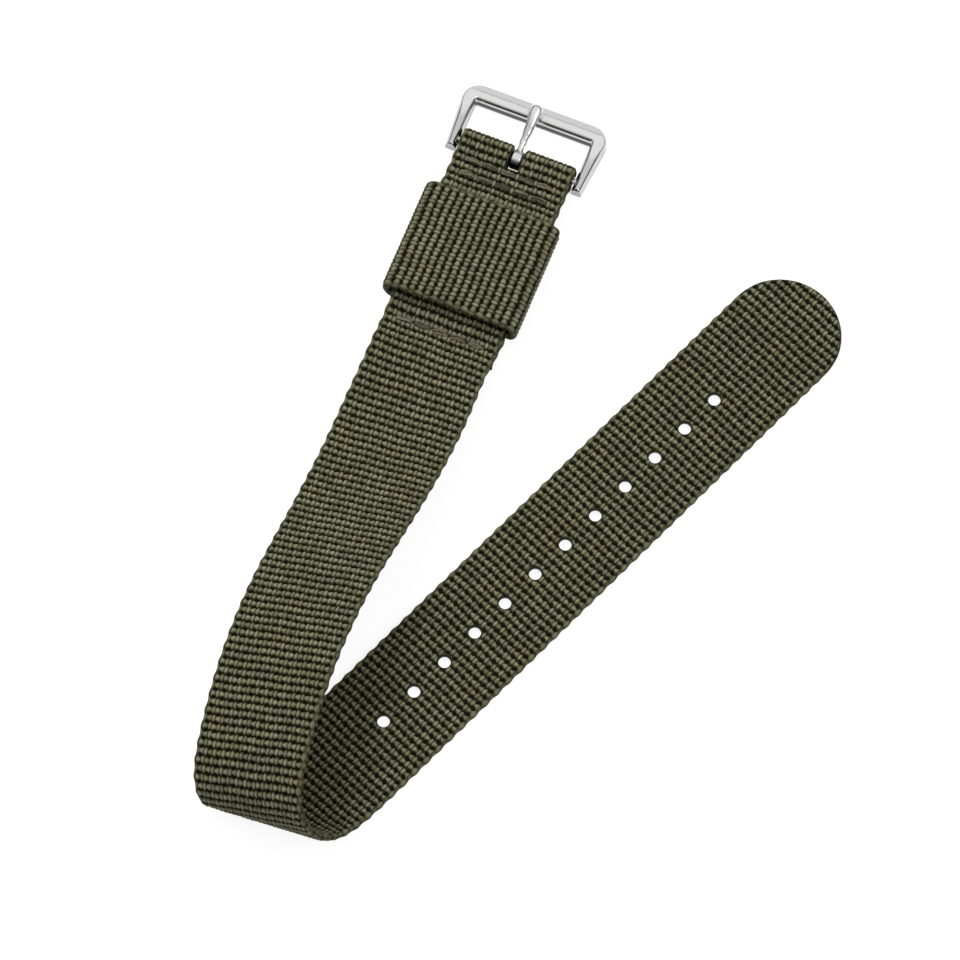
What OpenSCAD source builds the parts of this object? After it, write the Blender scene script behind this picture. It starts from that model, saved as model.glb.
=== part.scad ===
/* [Webbing] */
// Width of the nylon webbing, for the band and for the keeper
web_w = 18; // [14:0.5:24]
// Thickness of the webbing
web_t = 1.25; // [0.9:0.05:1.5]

/* [Tip leg] */
// Number of adjustment holes
hole_count = 12; // [4:1:14]
// Diameter of an adjustment hole
hole_d = 1.85; // [1.5:0.05:2.4]
// Distance from one hole to the next
hole_pitch = 6.35; // [5:0.05:8]
// Distance from the end of the rounded tip to the first hole
first_hole = 23.3; // [16:0.1:30]
// Flat webbing between the last hole and the place where the leg starts to rise
flat_rest = 5.7; // [4.5:0.1:14]

/* [Lie of the band] */
// Gentle bend that starts to raise the leg off the table, in degrees
rise_turn = 7.4; // [6:0.1:9]
// Half of the length that this bend takes
rise_spread = 9.1; // [8.5:0.1:10]
// Slant of this bend's fold line from square across the band, in degrees
rise_slant = -38; // [-40:0.5:-36]
// Bend that lifts the band, in degrees
lift_turn = 46.1; // [44:0.1:48]
// Half of the length that this bend takes
lift_spread = 7.3; // [7:0.1:8]
// Distance from the first rise to the start of this bend
lift_start = 8.7; // [8:0.1:9.5]
// Slant of this bend's fold line, in degrees
lift_slant = -33.8; // [-36:0.1:-31]
// Bend that folds the band over, in degrees
fold_turn = 94; // [92:0.5:96]
// Half of the length that this bend takes
fold_spread = 10.4; // [10:0.1:11]
// Distance from the first rise to the start of this bend
fold_start = 13.1; // [12.5:0.1:13.8]
// Slant of this bend's fold line, in degrees
fold_slant = -3.4; // [-6:0.1:-1]
// Long bend over the crest of the upper leg, in degrees
crest_turn = 47.4; // [46:0.1:49]
// Half of the length that this bend takes
crest_spread = 43.8; // [43:0.1:45]
// Distance from the first rise to the start of this bend
crest_start = 2.9; // [2:0.1:4]
// Slant of this bend's fold line, in degrees
crest_slant = -11.4; // [-13:0.1:-10]
// Bend back that lays the upper leg down again, in degrees
settle_turn = 30.2; // [29:0.1:31.5]
// Half of the length that this bend takes
settle_spread = 32.4; // [31.5:0.1:33.5]
// Distance from the first rise to the start of this bend
settle_start = 55.1; // [54:0.1:56.2]
// Slant of this bend's fold line, in degrees
settle_slant = 30.6; // [28:0.1:33]
// Length of the band from the first rise to the spring bar
bar_run = 137.2; // [136:0.1:142]

/* [Buckle end] */
// Distance from the spring bar to the first row of stitches
first_seam = 3.2; // [3:0.1:4]
// Distance from the first row of stitches to the second
seam_gap = 2.2; // [1.8:0.1:3]
// Distance from the spring bar to the keeper
keeper_place = 9.2; // [8.8:0.1:12]
// Play of the keeper each way between its two seams
keeper_play = 1; // [0.5:0.1:1.5]
// Length over which the two layers part or close beside the keeper
part_len = 2; // [1.6:0.1:3]
// Webbing of the tail past its last row of stitches
tail_end = 2; // [1.5:0.1:4]
// Clear gap of the two layers at a seam
seam_clear = 0.1; // [0.05:0.01:0.2]
// Width of the slot for the tongue
slot_w = 1.9; // [1.8:0.1:2.4]
// Reach of the slot behind the spring bar
slot_back = 2.2; // [2:0.1:2.4]

/* [Keeper] */
// Clearance between the keeper and the band
keeper_clear = 0.15; // [0.1:0.01:0.25]
// Room above the band for the tip leg
keeper_room = 1.45; // [1.3:0.05:2]
// Rise of the keeper's top run in its middle
keeper_crown = 0.35; // [0.1:0.05:0.6]
// Bend radius of the keeper's upper corners, in the middle of the webbing
keeper_round = 1.5; // [1.2:0.1:1.8]

/* [Seams] */
// Diameter of the sewing thread
thread_d = 0.5; // [0.4:0.05:0.6]
// Length of one stitch
stitch_len = 2.85; // [2.5:0.05:3.2]
// Number of stitches in a row
stitch_count = 5; // [3:1:5]

/* [Buckle frame] */
// Side clearance between the band and each leg of the frame
leg_clear = 0.25; // [0.15:0.05:0.5]
// Width of a leg at the crossbar
leg_w = 2.3; // [1.9:0.1:2.6]
// Width of a leg at its end
leg_foot_w = 1.65; // [1.5:0.05:1.8]
// Thickness of the frame
frame_t = 2.4; // [2.2:0.1:2.8]
// Width of the crossbar
cross_w = 2.9; // [1.8:0.1:3]
// Clear distance from the spring bar to the crossbar
cross_reach = 6.8; // [6.6:0.1:9]
// Length of a leg past the spring bar
leg_end = 1.6; // [1.4:0.1:2]
// Outer corner radius of the frame
corner_r = 3.0; // [2.6:0.1:6]
// Width of the crossbar's outer bevel
bevel_w = 1.3; // [0.8:0.1:1.6]
// Depth of the crossbar's outer bevel
bevel_h = 0.9; // [0.5:0.1:1.2]

/* [Spring bar] */
// Diameter of the tube
tube_d = 1.5; // [1.4:0.05:1.7]
// Diameter of the tube's bore
tube_bore = 1.0; // [0.95:0.01:1.1]
// Diameter of a tip's nose
nose_d = 0.72; // [0.65:0.01:0.75]
// Length of a tip's nose in the frame
nose_reach = 1; // [0.8:0.1:1.1]
// Wall at the end of the tube that holds the tip in
lip = 0.4; // [0.3:0.05:0.5]
// Length of a tip's collar inside the tube
collar_len = 1; // [0.8:0.1:1.5]
// Wire diameter of the spring
wire_d = 0.16; // [0.14:0.01:0.18]
// Number of turns of the spring
spring_turns = 14; // [8:1:18]

/* [Tongue] */
// Width of the tongue's eye
eye_w = 1.6; // [1.4:0.05:1.7]
// Wall of the eye round the spring bar
eye_wall = 0.7; // [0.6:0.05:0.75]
// Diameter of the tongue's shank at the eye
shank_d = 1.15; // [1:0.05:1.3]
// Diameter of the tongue's shank at the crossbar
shank_front = 1.4; // [1.3:0.05:1.6]
// Diameter of the rounded end of the tongue
bulb_d = 2.05; // [1.8:0.05:2.3]
// Length of the rounded end of the tongue
bulb_len = 2.9; // [2.6:0.1:3.6]

/* [Hidden] */

webbing_color = "#4b4a33";
thread_color = "#5d5338";
steel_color = "#c9cacb";
fit_clear = 0.06;
fine = 64;
cut_past = 1;
half_w = web_w / 2;

/* The band's course starts at the first rise. There the band's middle line is at the origin,
   the tip leg lies along +X and the band runs on towards -X. */
bends = [
    [0, rise_spread, rise_turn, rise_slant],
    [lift_start, lift_spread, lift_turn, lift_slant],
    [fold_start, fold_spread, fold_turn, fold_slant],
    [crest_start, crest_spread, crest_turn, crest_slant],
    [settle_start, settle_spread, -settle_turn, settle_slant]
];
course_step = 1;
land_from = bar_run - 41;
land_to = bar_run - 33;
course_count = ceil(land_to / course_step) + 1;
quiet_bend = 1.15;

// Bend of one stretch at distance s, in degrees per millimetre: a raised cosine
function hump(s, b) = let(x = (s - b[0]) / b[1] - 1) abs(x) < 1 ? b[2] * (1 + cos(180 * x)) / (2 * b[1]) : 0;
function add(list, i = 0) = i < len(list) ? list[i] + add(list, i + 1) : 0;
function bend_rate(s) = add([for (b = bends) hump(s, b)]);
function twist_rate(s) = add([for (b = bends) hump(s, b) * tan(b[3])]);

function unit(v) = v / norm(v);
function mix(a, b, f) = a * (1 - f) + b * f;
function ease(x) = let(c = max(0, min(1, x))) (1 - cos(180 * c)) / 2;

/* Lean of the fold line at distance s: how far it runs along the band for each millimetre
   across. It keeps the first bend's slant back into the flat leg, and past the fold it
   fades where the band hardly bends. */
function lean(s) =
    let(k = bend_rate(s), w = twist_rate(s), q = quiet_bend * ease((s - fold_start) / fold_spread))
    s < 0.5 ? tan(rise_slant) : w * k / (k * k + q * q);

// Vector v turned by angle a about the unit vector r
function turned(v, r, a) = v * cos(a) + cross(r, v) * sin(a) + r * (r * v) * (1 - cos(a));

// A place on the course is [middle line, direction along, direction across, normal]
function advance(q, s) =
    let(w = -(q[2] * bend_rate(s) + q[1] * twist_rate(s)) * course_step,
        a = norm(w),
        r = a > 0 ? w / a : q[2])
    [q[0] + turned(q[1], r, a / 2) * course_step, turned(q[1], r, a), turned(q[2], r, a), turned(q[3], r, a)];

rise_place = [[0, 0, web_t / 2], [-1, 0, 0], [0, -1, 0], [0, 0, 1]];
course = [for (i = 0, q = rise_place; i <= course_count; q = advance(q, (i + 0.5) * course_step), i = i + 1) q];

function on_course(s) =
    s <= 0 ? [rise_place[0] + rise_place[1] * s, rise_place[1], rise_place[2], rise_place[3]] :
    let(x = min(s / course_step, course_count), i = min(floor(x), course_count - 1), f = x - i)
    [for (j = [0:3]) j == 0 ? mix(course[i][j], course[i + 1][j], f) : unit(mix(course[i][j], course[i + 1][j], f))];

/* The upper leg lands flat on its way to the buckle, which sets the part's axes: +Y runs
   along it to the buckle, and X lies along the spring bar. */
landing = on_course(land_from);
ahead = unit([landing[1][0], landing[1][1], 0]);
aside = [ahead[1], -ahead[0], 0];
turn_to_y = 90 - atan2(ahead[1], ahead[0]);

/* Heights of the two layers at the buckle end. The fold round the bar rests on the table,
   and the keeper's lower run lies between the layers. */
tube_r = tube_d / 2;
fold_r = tube_r + fit_clear;
fold_mid = fold_r + web_t / 2;
bar_z = fold_r + web_t;
parted_low = web_t / 2;
parted_high = parted_low + 2 * web_t + 2 * keeper_clear;
seam_mid = (parted_low + parted_high) / 2 + 0.25;
closed_high = seam_mid + (web_t + seam_clear) / 2;
closed_low = seam_mid - (web_t + seam_clear) / 2;
second_seam = first_seam + seam_gap;
keeper_far = keeper_place + web_w;
part_near = keeper_place - keeper_play - part_len;
part_far = keeper_far + keeper_play + part_len;
third_seam = part_far + 0.4;
tail_len = third_seam + tail_end;
leg_high = parted_high + 0.1;

// Height of the band's middle at distance d behind the bar, for the upper layer and for the tail
function upper_z(d) =
    d < first_seam ? mix(bar_z + fold_mid, closed_high, ease(d / first_seam)) :
    d < keeper_place ? mix(closed_high, parted_high, ease((d - part_near) / part_len)) :
    d < part_far ? mix(parted_high, closed_high, ease((d - part_far + part_len) / part_len)) :
    mix(closed_high, leg_high, ease((d - third_seam - 0.6) / 4));
function tail_z(d) =
    d < first_seam ? mix(bar_z - fold_mid, closed_low, ease(d / first_seam)) :
    d < keeper_place ? mix(closed_low, parted_low, ease((d - part_near) / part_len)) :
    mix(parted_low, closed_low, ease((d - part_far + part_len) / part_len));

function slope_place(p, along, rise) =
    let(t = unit([along[0], along[1], rise])) [p, t, aside, cross(t, aside)];
function bar_behind(d, z) = landing[0] + ahead * (bar_run - land_from - d) + [0, 0, z - landing[0][2]];
function leg_place(s) =
    let(d = bar_run - s)
    slope_place(bar_behind(d, upper_z(d)), ahead, (upper_z(d - 0.05) - upper_z(d + 0.05)) / 0.1);
function tail_place(d) =
    slope_place(bar_behind(d, tail_z(d)), ahead, (tail_z(d - 0.05) - tail_z(d + 0.05)) / 0.1);

function place(s) =
    s < land_from ? on_course(s) :
    s > land_to ? leg_place(s) :
    let(a = on_course(s), b = leg_place(s), f = ease((s - land_from) / (land_to - land_from)))
    [mix(a[0], b[0], f), unit(mix(a[1], b[1], f)), unit(mix(a[2], b[2], f)), unit(mix(a[3], b[3], f))];

// Distance along the course, between low and high, whose fold line passes u along and v across the band
function fold_foot(u, v, low, high, n) =
    let(s = (low + high) / 2)
    n == 0 ? s : s + v * lean(s) > u ? fold_foot(u, v, low, s, n - 1) : fold_foot(u, v, s, high, n - 1);

// Point of the band u along, v across and h above its middle surface
function band_point(u, v, h) =
    let(s = fold_foot(u, v, u - half_w, u + half_w, 16), q = place(s))
    q[0] + (q[2] + q[1] * lean(s)) * v + q[3] * h;

/* The sweep's rings: one corner run above and one below, from side to side. */
parts_across = 6;
across = [for (i = [0:parts_across]) half_w * (2 * i / parts_across - 1)];
tip_at = first_hole + (hole_count - 1) * hole_pitch + flat_rest;
flat_end = -half_w * tan(abs(rise_slant)) - 0.5;
sweep_at = concat(
    [-tip_at - cut_past],
    [for (u = [flat_end:1.3:44]) u],
    [for (u = [46:4:land_from]) u],
    [for (d = [38:-1.7:part_far + 1]) bar_run - d],
    [for (i = [0:6]) bar_run - part_far + part_len * i / 6],
    [for (i = [0:6]) bar_run - part_near - part_len + part_len * i / 6],
    [bar_run - second_seam, bar_run - first_seam],
    [for (i = [1:5]) bar_run - first_seam * (1 - i / 5)]
);
tail_at = concat(
    [for (i = [0:5]) first_seam * i / 5],
    [second_seam],
    [for (i = [0:6]) part_near + part_len * i / 6],
    [for (i = [0:6]) part_far - part_len + part_len * i / 6],
    [tail_len]
);

// Place on the half turn round the spring bar, a degrees from its top
function fold_place(a) =
    let(n = ahead * sin(a) + [0, 0, cos(a)], t = ahead * cos(a) - [0, 0, sin(a)])
    [bar_behind(0, bar_z) + n * fold_mid, t, aside, -n];
function flat_ring(q) = concat([for (v = across) q[0] + aside * v + q[3] * web_t / 2],
                               [for (i = [parts_across:-1:0]) q[0] + aside * across[i] - q[3] * web_t / 2]);
function ring(u) = concat([for (v = across) band_point(u, v, web_t / 2)],
                          [for (i = [parts_across:-1:0]) band_point(u, across[i], -web_t / 2)]);
function turned_back(q) = [q[0], -q[1], q[2], -q[3]];
band_rings = concat([for (u = sweep_at) ring(u)],
                    [for (a = [15:15:165]) flat_ring(fold_place(a))],
                    [for (d = tail_at) flat_ring(turned_back(tail_place(d)))]);

/* The part's origin is in the middle of the footprint, on the table. */
function to_axes(p) = [p[0] * cos(turn_to_y) - p[1] * sin(turn_to_y), p[0] * sin(turn_to_y) + p[1] * cos(turn_to_y), p[2]];
bar_at = to_axes(bar_behind(0, 0));
tip_centre = to_axes([tip_at - half_w, 0, 0]);
outer_w = web_w + 2 * (leg_clear + leg_w);
frame_len = cross_reach + cross_w;
foot_inset = 0.3;
foot = [frame_len - foot_inset, frame_t / 2];
frame_tilt = atan2(foot[1], foot[0]) - asin(bar_z / norm(foot));
swept_points = [for (r = band_rings) for (p = r) to_axes(p)];
far_x = tip_centre[0] + half_w;
near_x = min(bar_at[0] - outer_w / 2, min([for (p = swept_points) p[0]]));
far_y = bar_at[1] + frame_len * cos(frame_tilt) - (frame_t / 2 - bevel_h) * sin(frame_tilt);
near_y = min([for (p = swept_points) p[1]]);
origin_shift = [-(far_x + near_x) / 2, -(far_y + near_y) / 2, 0];
bar_centre = bar_at + origin_shift + [0, 0, bar_z];

echo(bar_centre = bar_centre, tip_centre = tip_centre + origin_shift, turn_to_y = turn_to_y,
     frame_tilt = frame_tilt, footprint = [far_x - near_x, far_y - near_y]);

// Moves what is drawn along the course into the part's axes
module to_part() {
    translate(origin_shift) rotate([0, 0, turn_to_y]) children();
}

// Moves what is drawn round the spring bar's axis into its place
module at_bar(tilt = 0) {
    translate(bar_centre) rotate([tilt, 0, 0]) children();
}

// Closed skin over rings of an equal, even number of points, with flat ends
module skin(rings) {
    n = len(rings[0]);
    m = len(rings);
    walls = [for (i = [0:m - 2]) for (j = [0:n - 1])
        let(a = i * n + j, b = i * n + (j + 1) % n, c = a + n, d = b + n)
        each [[a, b, d], [a, d, c]]];
    last = (m - 1) * n;
    ends = [for (j = [0:n / 2 - 2])
        each [[n - 1 - j, n - 2 - j, j + 1, j], [last + j, last + j + 1, last + n - 2 - j, last + n - 1 - j]]];
    polyhedron(points = [for (r = rings) each r], faces = concat(walls, ends), convexity = 10);
}

// What is cut from the tip leg: the corners round its end and the row of punched holes
module tip_cuts() {
    cut_h = web_t + 2 * cut_past;
    translate([tip_at - half_w, 0, -cut_past]) difference() {
        translate([0, -web_w, 0]) cube([web_w, 2 * web_w, cut_h]);
        translate([0, 0, -cut_past]) cylinder(d = web_w, h = cut_h + 2 * cut_past, $fn = 2 * fine);
    }
    for (i = [0:hole_count - 1])
        translate([tip_at - first_hole - i * hole_pitch, 0, -cut_past]) cylinder(d = hole_d, h = cut_h, $fn = fine);
}

module band() {
    color(webbing_color) difference() {
        to_part() skin(band_rings);
        to_part() tip_cuts();
        at_bar() translate([-slot_w / 2, -slot_back, -bar_z - cut_past])
            cube([slot_w, web_w, 2 * (bar_z + cut_past)]);
    }
}

/* The keeper's profile, seen along the band: places of its middle line with the outward
   direction, from one butted end round over the band to the other. */
side_clear = 0.3;
butt_gap = 0.1;
low_run = parted_low + web_t + keeper_clear;
low_bend = web_t / 2 + side_clear;
side_x = half_w + low_bend;
top_mid = parted_high + web_t + keeper_room;
shoulder = top_mid - keeper_crown;
top_x = side_x - keeper_round;
keeper_right = concat(
    [[[butt_gap / 2, low_run], [0, -1]]],
    [for (a = [-90:15:0]) [[half_w, low_run + low_bend] + low_bend * [cos(a), sin(a)], [cos(a), sin(a)]]],
    [for (a = [0:15:90]) [[top_x, shoulder - keeper_round] + keeper_round * [cos(a), sin(a)], [cos(a), sin(a)]]],
    [for (i = [1:7]) [[top_x * (1 - i / 8), shoulder + keeper_crown * sin(90 * i / 8)], [0, 1]]]
);
keeper_left = [for (i = [len(keeper_right) - 1:-1:0]) [for (v = keeper_right[i]) [-v[0], v[1]]]];
keeper_line = concat(keeper_right, [[[0, top_mid], [0, 1]]], keeper_left);
keeper_outline = concat([for (q = keeper_line) q[0] + q[1] * web_t / 2],
                        [for (i = [len(keeper_line) - 1:-1:0]) keeper_line[i][0] - keeper_line[i][1] * web_t / 2]);

// Moves what is drawn behind the spring bar, with heights from the table, into its place
module at_leg() {
    translate([bar_centre[0], bar_centre[1], 0]) children();
}

module keeper() {
    color(webbing_color) at_leg() translate([0, -keeper_place, 0]) rotate([90, 0, 0])
        linear_extrude(web_w) polygon(keeper_outline);
}

/* A thread is a tube along points in one plane, with the plane's normal as its side. */
function tube_ring(p, t, side, r, sides) =
    let(n = cross(side, t)) [for (k = [0:sides - 1]) p + r * (n * cos(360 * k / sides) + side * sin(360 * k / sides))];
function tube_rings(pts, side, r, sides) =
    let(m = len(pts) - 1)
    [for (i = [0:m]) tube_ring(pts[i], unit(pts[min(i + 1, m)] - pts[max(i - 1, 0)]), side, r, sides)];
thread_r = thread_d / 2;
thread_sides = 6;
hole_half = thread_r + 0.12;

// Course of one thread of a row: over each stitch and down into each needle hole
function row_points(mid, high) = [
    for (k = [0:stitch_count - 1])
        let(x = (k - stitch_count / 2) * stitch_len)
        each [[x, 0, mid], [x + hole_half, 0, mix(mid, high, 0.75)], [x + 2.2 * hole_half, 0, high],
              [x + stitch_len - 2.2 * hole_half, 0, high], [x + stitch_len - hole_half, 0, mix(mid, high, 0.75)]],
    [stitch_count / 2 * stitch_len, 0, mid]
];

// One row of stitches through both layers, d behind the spring bar
module seam_row(d) {
    high = upper_z(d) + web_t / 2 + thread_r / 2;
    low = tail_z(d) - web_t / 2;
    mid = (upper_z(d) + tail_z(d)) / 2;
    at_leg() translate([0, -d, 0]) {
        skin(tube_rings(row_points(mid + thread_r + 0.02, high), [0, -1, 0], thread_r, thread_sides));
        skin(tube_rings(row_points(mid - thread_r - 0.02, low), [0, -1, 0], thread_r, thread_sides));
    }
}

module fold_seam() {
    color(thread_color) {
        seam_row(first_seam);
        seam_row(second_seam);
    }
}

module tail_seam() {
    color(thread_color) seam_row(third_seam);
}

// Zigzag that joins the keeper's two ends, sunk into the webbing
zig_half = 1.5;
zig_pitch = 1.5;
zig_count = floor((web_w - 2) / zig_pitch);
module keeper_seam() {
    high = low_run + web_t / 2 - thread_r;
    low = low_run - web_t / 2 + thread_r;
    color(thread_color) at_leg() translate([0, -keeper_place - (web_w - zig_count * zig_pitch) / 2, 0])
        for (z = [high, low])
            skin(tube_rings([for (k = [0:zig_count]) [zig_half * (k % 2 == 0 ? 1 : -1), -k * zig_pitch, z]],
                            [0, 0, 1], thread_r * 0.9, thread_sides));
}

/* The spring bar: a tube with a lip at each end, two tips and the spring between them. */
nose_r = nose_d / 2;
inner_half = half_w + leg_clear;
tube_gap = 0.1;
tube_half = inner_half - tube_gap;
bore_r = tube_bore / 2;
collar_r = bore_r - 0.04;
collar_end = tube_half - lip - 0.02;
pin_depth = nose_reach + 0.1;

module bar_tube() {
    half = [[bore_r, 0], [bore_r, tube_half - lip], [nose_r + 0.05, tube_half - lip], [nose_r + 0.05, tube_half],
            [tube_r - 0.1, tube_half], [tube_r, tube_half - 0.1]];
    color(steel_color) at_bar() rotate([0, 90, 0]) rotate_extrude($fn = fine)
        polygon(concat(half, [for (i = [5:-1:1]) [half[i][0], -half[i][1]]], [[bore_r, -tube_half + lip]]));
}

module bar_tip() {
    nose_end = inner_half + nose_reach;
    rotate([0, 90, 0]) rotate_extrude($fn = fine)
        polygon([[0, collar_end - collar_len], [collar_r, collar_end - collar_len], [collar_r, collar_end],
                 [nose_r, collar_end], [nose_r, nose_end - 0.12], [nose_r - 0.12, nose_end], [0, nose_end]]);
}

module bar_tip_right() {
    color(steel_color) at_bar() bar_tip();
}

module bar_tip_left() {
    color(steel_color) at_bar() mirror([1, 0, 0]) bar_tip();
}

module bar_spring() {
    wire_r = wire_d / 2;
    coil_r = bore_r - wire_r - 0.06;
    coil_half = collar_end - collar_len - wire_r - 0.03;
    steps = spring_turns * 10;
    rings = [for (i = [0:steps])
        let(a = 36 * i, x = coil_half * (2 * i / steps - 1), out = [0, cos(a), sin(a)],
            rise = 2 * coil_half / (spring_turns * 2 * PI * coil_r), t = unit([rise, -sin(a), cos(a)]))
        tube_ring(coil_r * out + [x, 0, 0], t, out, wire_r, 6)];
    color(steel_color) at_bar() skin(rings);
}

/* The buckle frame is drawn flat round the spring bar's axis and leans down to the table. */
side_bevel = 0.45;
leg_top = cross_reach - 1.6;

module frame_plan(inset_side, inset_front) {
    w = outer_w - 2 * inset_side;
    y = frame_len - inset_front;
    r = corner_r - inset_side;
    translate([-w / 2, 0]) square([w, y - r]);
    translate([r - w / 2, 0]) square([w - 2 * r, y]);
    for (s = [-1, 1]) translate([s * (w / 2 - r), y - r]) circle(r = r, $fn = 48);
}

module leg_section(y, w, t, r) {
    translate([inner_half + w / 2, y, 0]) rotate([90, 0, 0])
        for (x = [-1, 1]) for (z = [-1, 1])
            translate([x * (w / 2 - r), z * (t / 2 - r), 0]) cylinder(r = r, h = 0.02, $fn = 24);
}

module leg() {
    hull() {
        leg_section(leg_top, leg_w, frame_t, 0.4);
        leg_section(0.5, mix(leg_w, leg_foot_w, 0.65), frame_t - 0.1, 0.8);
        leg_section(-leg_end + 0.4, leg_foot_w, frame_t - 0.2, 0.75);
        leg_section(-leg_end + 0.02, leg_foot_w - 0.4, frame_t - 0.9, 0.55);
    }
}

module buckle_frame() {
    color(steel_color) at_bar(frame_tilt) difference() {
        union() {
            intersection() {
                hull() {
                    translate([0, 0, -frame_t / 2]) linear_extrude(0.02) frame_plan(foot_inset, foot_inset);
                    translate([0, 0, -frame_t / 2 + foot_inset])
                        linear_extrude(frame_t - foot_inset - bevel_h) frame_plan(0, 0);
                    translate([0, 0, frame_t / 2 - 0.02]) linear_extrude(0.02) frame_plan(side_bevel, bevel_w);
                }
                translate([-outer_w, leg_top - 0.1, -frame_t]) cube([2 * outer_w, frame_len, 2 * frame_t]);
            }
            leg();
            mirror([1, 0, 0]) leg();
        }
        translate([-inner_half, -2 * leg_end, -frame_t]) cube([2 * inner_half, cross_reach + 2 * leg_end, 2 * frame_t]);
        translate([-inner_half - pin_depth, 0, 0]) rotate([0, 90, 0])
            cylinder(r = nose_r + 0.05, h = 2 * (inner_half + pin_depth), $fn = fine);
    }
}

/* The tongue: an eye on the bar and a turned rod whose round end rests on the crossbar. */
eye_r = fold_r + eye_wall;
rod_high = eye_r - shank_d / 2 - 0.09;
bulb_r = bulb_d / 2;
rest_gap = 0.03;
rest_edge = [cross_reach * cos(frame_tilt) - frame_t / 2 * sin(frame_tilt),
             cross_reach * sin(frame_tilt) + frame_t / 2 * cos(frame_tilt)];
rest_arm = [rest_edge[0], rod_high - rest_edge[1]];
rod_rise = asin((bulb_r + rest_gap) / norm(rest_arm)) - atan2(rest_arm[1], rest_arm[0]);
rod_len = frame_len - 0.9;
bulb_start = rod_len - bulb_len;

// Radius of the rod at distance x from the bar
function rod_r(x) =
    x < bulb_start ? mix(shank_d, shank_front, x / bulb_start) / 2 :
    x < rod_len - bulb_r ? mix(shank_front / 2, bulb_r, ease((x - bulb_start) / (bulb_len - bulb_r))) :
    sqrt(max(0, bulb_r * bulb_r - pow(x - rod_len + bulb_r, 2)));

module buckle_tongue() {
    color(steel_color) at_bar() difference() {
        union() {
            rotate([0, 90, 0]) translate([0, 0, -eye_w / 2]) cylinder(r = eye_r, h = eye_w, $fn = fine);
            translate([0, 0, rod_high]) rotate([rod_rise - 90, 0, 0]) rotate_extrude($fn = fine)
                polygon(concat([[0, 0]],
                               [for (x = [0, bulb_start]) [rod_r(x), x]],
                               [for (i = [1:6]) let(x = bulb_start + (bulb_len - bulb_r) * i / 6) [rod_r(x), x]],
                               [for (a = [15:15:75]) [bulb_r * cos(a), rod_len - bulb_r + bulb_r * sin(a)]],
                               [[0, rod_len]]));
        }
        rotate([0, 90, 0]) translate([0, 0, -web_w / 2]) cylinder(r = fold_r, h = web_w, $fn = fine);
    }
}

band();
keeper();
buckle_frame();
buckle_tongue();
bar_tube();
bar_tip_left();
bar_tip_right();
bar_spring();
fold_seam();
tail_seam();
keeper_seam();
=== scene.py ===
# %% [markdown]
# # A nylon watch strap with a steel pin buckle
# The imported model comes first: it says where each part is, in metres. Everything that
# this lesson adds is laid on that model. The sizes below are in millimetres, as a strap
# maker writes them, and each mesh is turned into metres once, when it is made.

# %% The frame
import bpy, math
import numpy as np
from itertools import product
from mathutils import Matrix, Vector


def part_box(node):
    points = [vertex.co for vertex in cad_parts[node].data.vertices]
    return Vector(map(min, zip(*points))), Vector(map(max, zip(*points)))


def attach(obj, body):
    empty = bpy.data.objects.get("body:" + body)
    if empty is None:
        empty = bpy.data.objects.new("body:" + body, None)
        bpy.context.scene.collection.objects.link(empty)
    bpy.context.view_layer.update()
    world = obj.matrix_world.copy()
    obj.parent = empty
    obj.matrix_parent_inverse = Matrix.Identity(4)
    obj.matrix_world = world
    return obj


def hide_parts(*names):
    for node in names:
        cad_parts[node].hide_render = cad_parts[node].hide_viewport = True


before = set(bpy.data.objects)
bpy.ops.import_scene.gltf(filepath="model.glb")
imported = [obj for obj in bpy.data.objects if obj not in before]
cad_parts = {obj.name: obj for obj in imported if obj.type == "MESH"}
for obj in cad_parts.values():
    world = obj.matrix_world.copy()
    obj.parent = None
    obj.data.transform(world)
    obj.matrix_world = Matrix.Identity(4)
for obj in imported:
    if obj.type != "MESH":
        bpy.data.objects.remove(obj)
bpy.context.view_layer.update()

# %% [markdown]
# ## Where the picture is taken from
# The strap lies on a table and is seen steeply from above, from more than a metre away
# with a long lens. A camera is a place, a point to look at and a focal length, so the
# three are worked out here from one tilt, one distance and one turn of the strap. The
# picture has axes of its own, and the first hole of the strap ties them to the model.

# %% The camera
tip_centre = np.array([24.5528, 39.8786])
leg_turn, tip_to_hole = 67.8778, 14.3
leg_way = np.array([math.cos(math.radians(leg_turn)), math.sin(math.radians(leg_turn))])
first_hole = tip_centre - tip_to_hole * leg_way
hole_seen, leg_turn_seen = (34.581, 12.344), 45.925
tilt, distance, view_turn = math.radians(69.016), 1109.662, math.radians(leg_turn - leg_turn_seen)
sensor_w, picture_w, pixels_in_mm = 36, 960, 6.799


def seen_at(x, y, z=0.0):
    """A point of the picture's axes in metres of the model, turned by view_turn about the first hole."""
    px, py = x - hole_seen[0], y - hole_seen[1]
    c, s = math.cos(view_turn), math.sin(view_turn)
    return Vector((c * px - s * py + first_hole[0], s * px + c * py + first_hole[1], z)) / 1000


target = seen_at(0, 0)
eye = seen_at(0, -distance * math.cos(tilt), distance * math.sin(tilt))
lens = bpy.data.cameras.new("camera")
lens.sensor_width, lens.lens = sensor_w, sensor_w * pixels_in_mm * distance / picture_w
lens.clip_start, lens.clip_end = 0.1, 10
camera = bpy.data.objects.new("camera", lens)
bpy.context.collection.objects.link(camera)
camera.location = eye
camera.rotation_euler = (target - eye).to_track_quat("-Z", "Y").to_euler()
bpy.context.scene.camera = camera
print("lens", round(lens.lens, 1), "mm")

# %% [markdown]
# ## Nodes and pieces
# Every finish in this lesson is a small tree of nodes, and every piece is a mesh that
# rides on a body of the model and stands for one of its nodes. These helpers keep both
# short. Values that are the same all over a surface go on the shader's own sockets.

# %% Helpers for nodes
def put(node, values):
    """Sets values on a node's own sockets, by name or number."""
    for socket, value in values.items():
        node.inputs[socket].default_value = value


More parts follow.
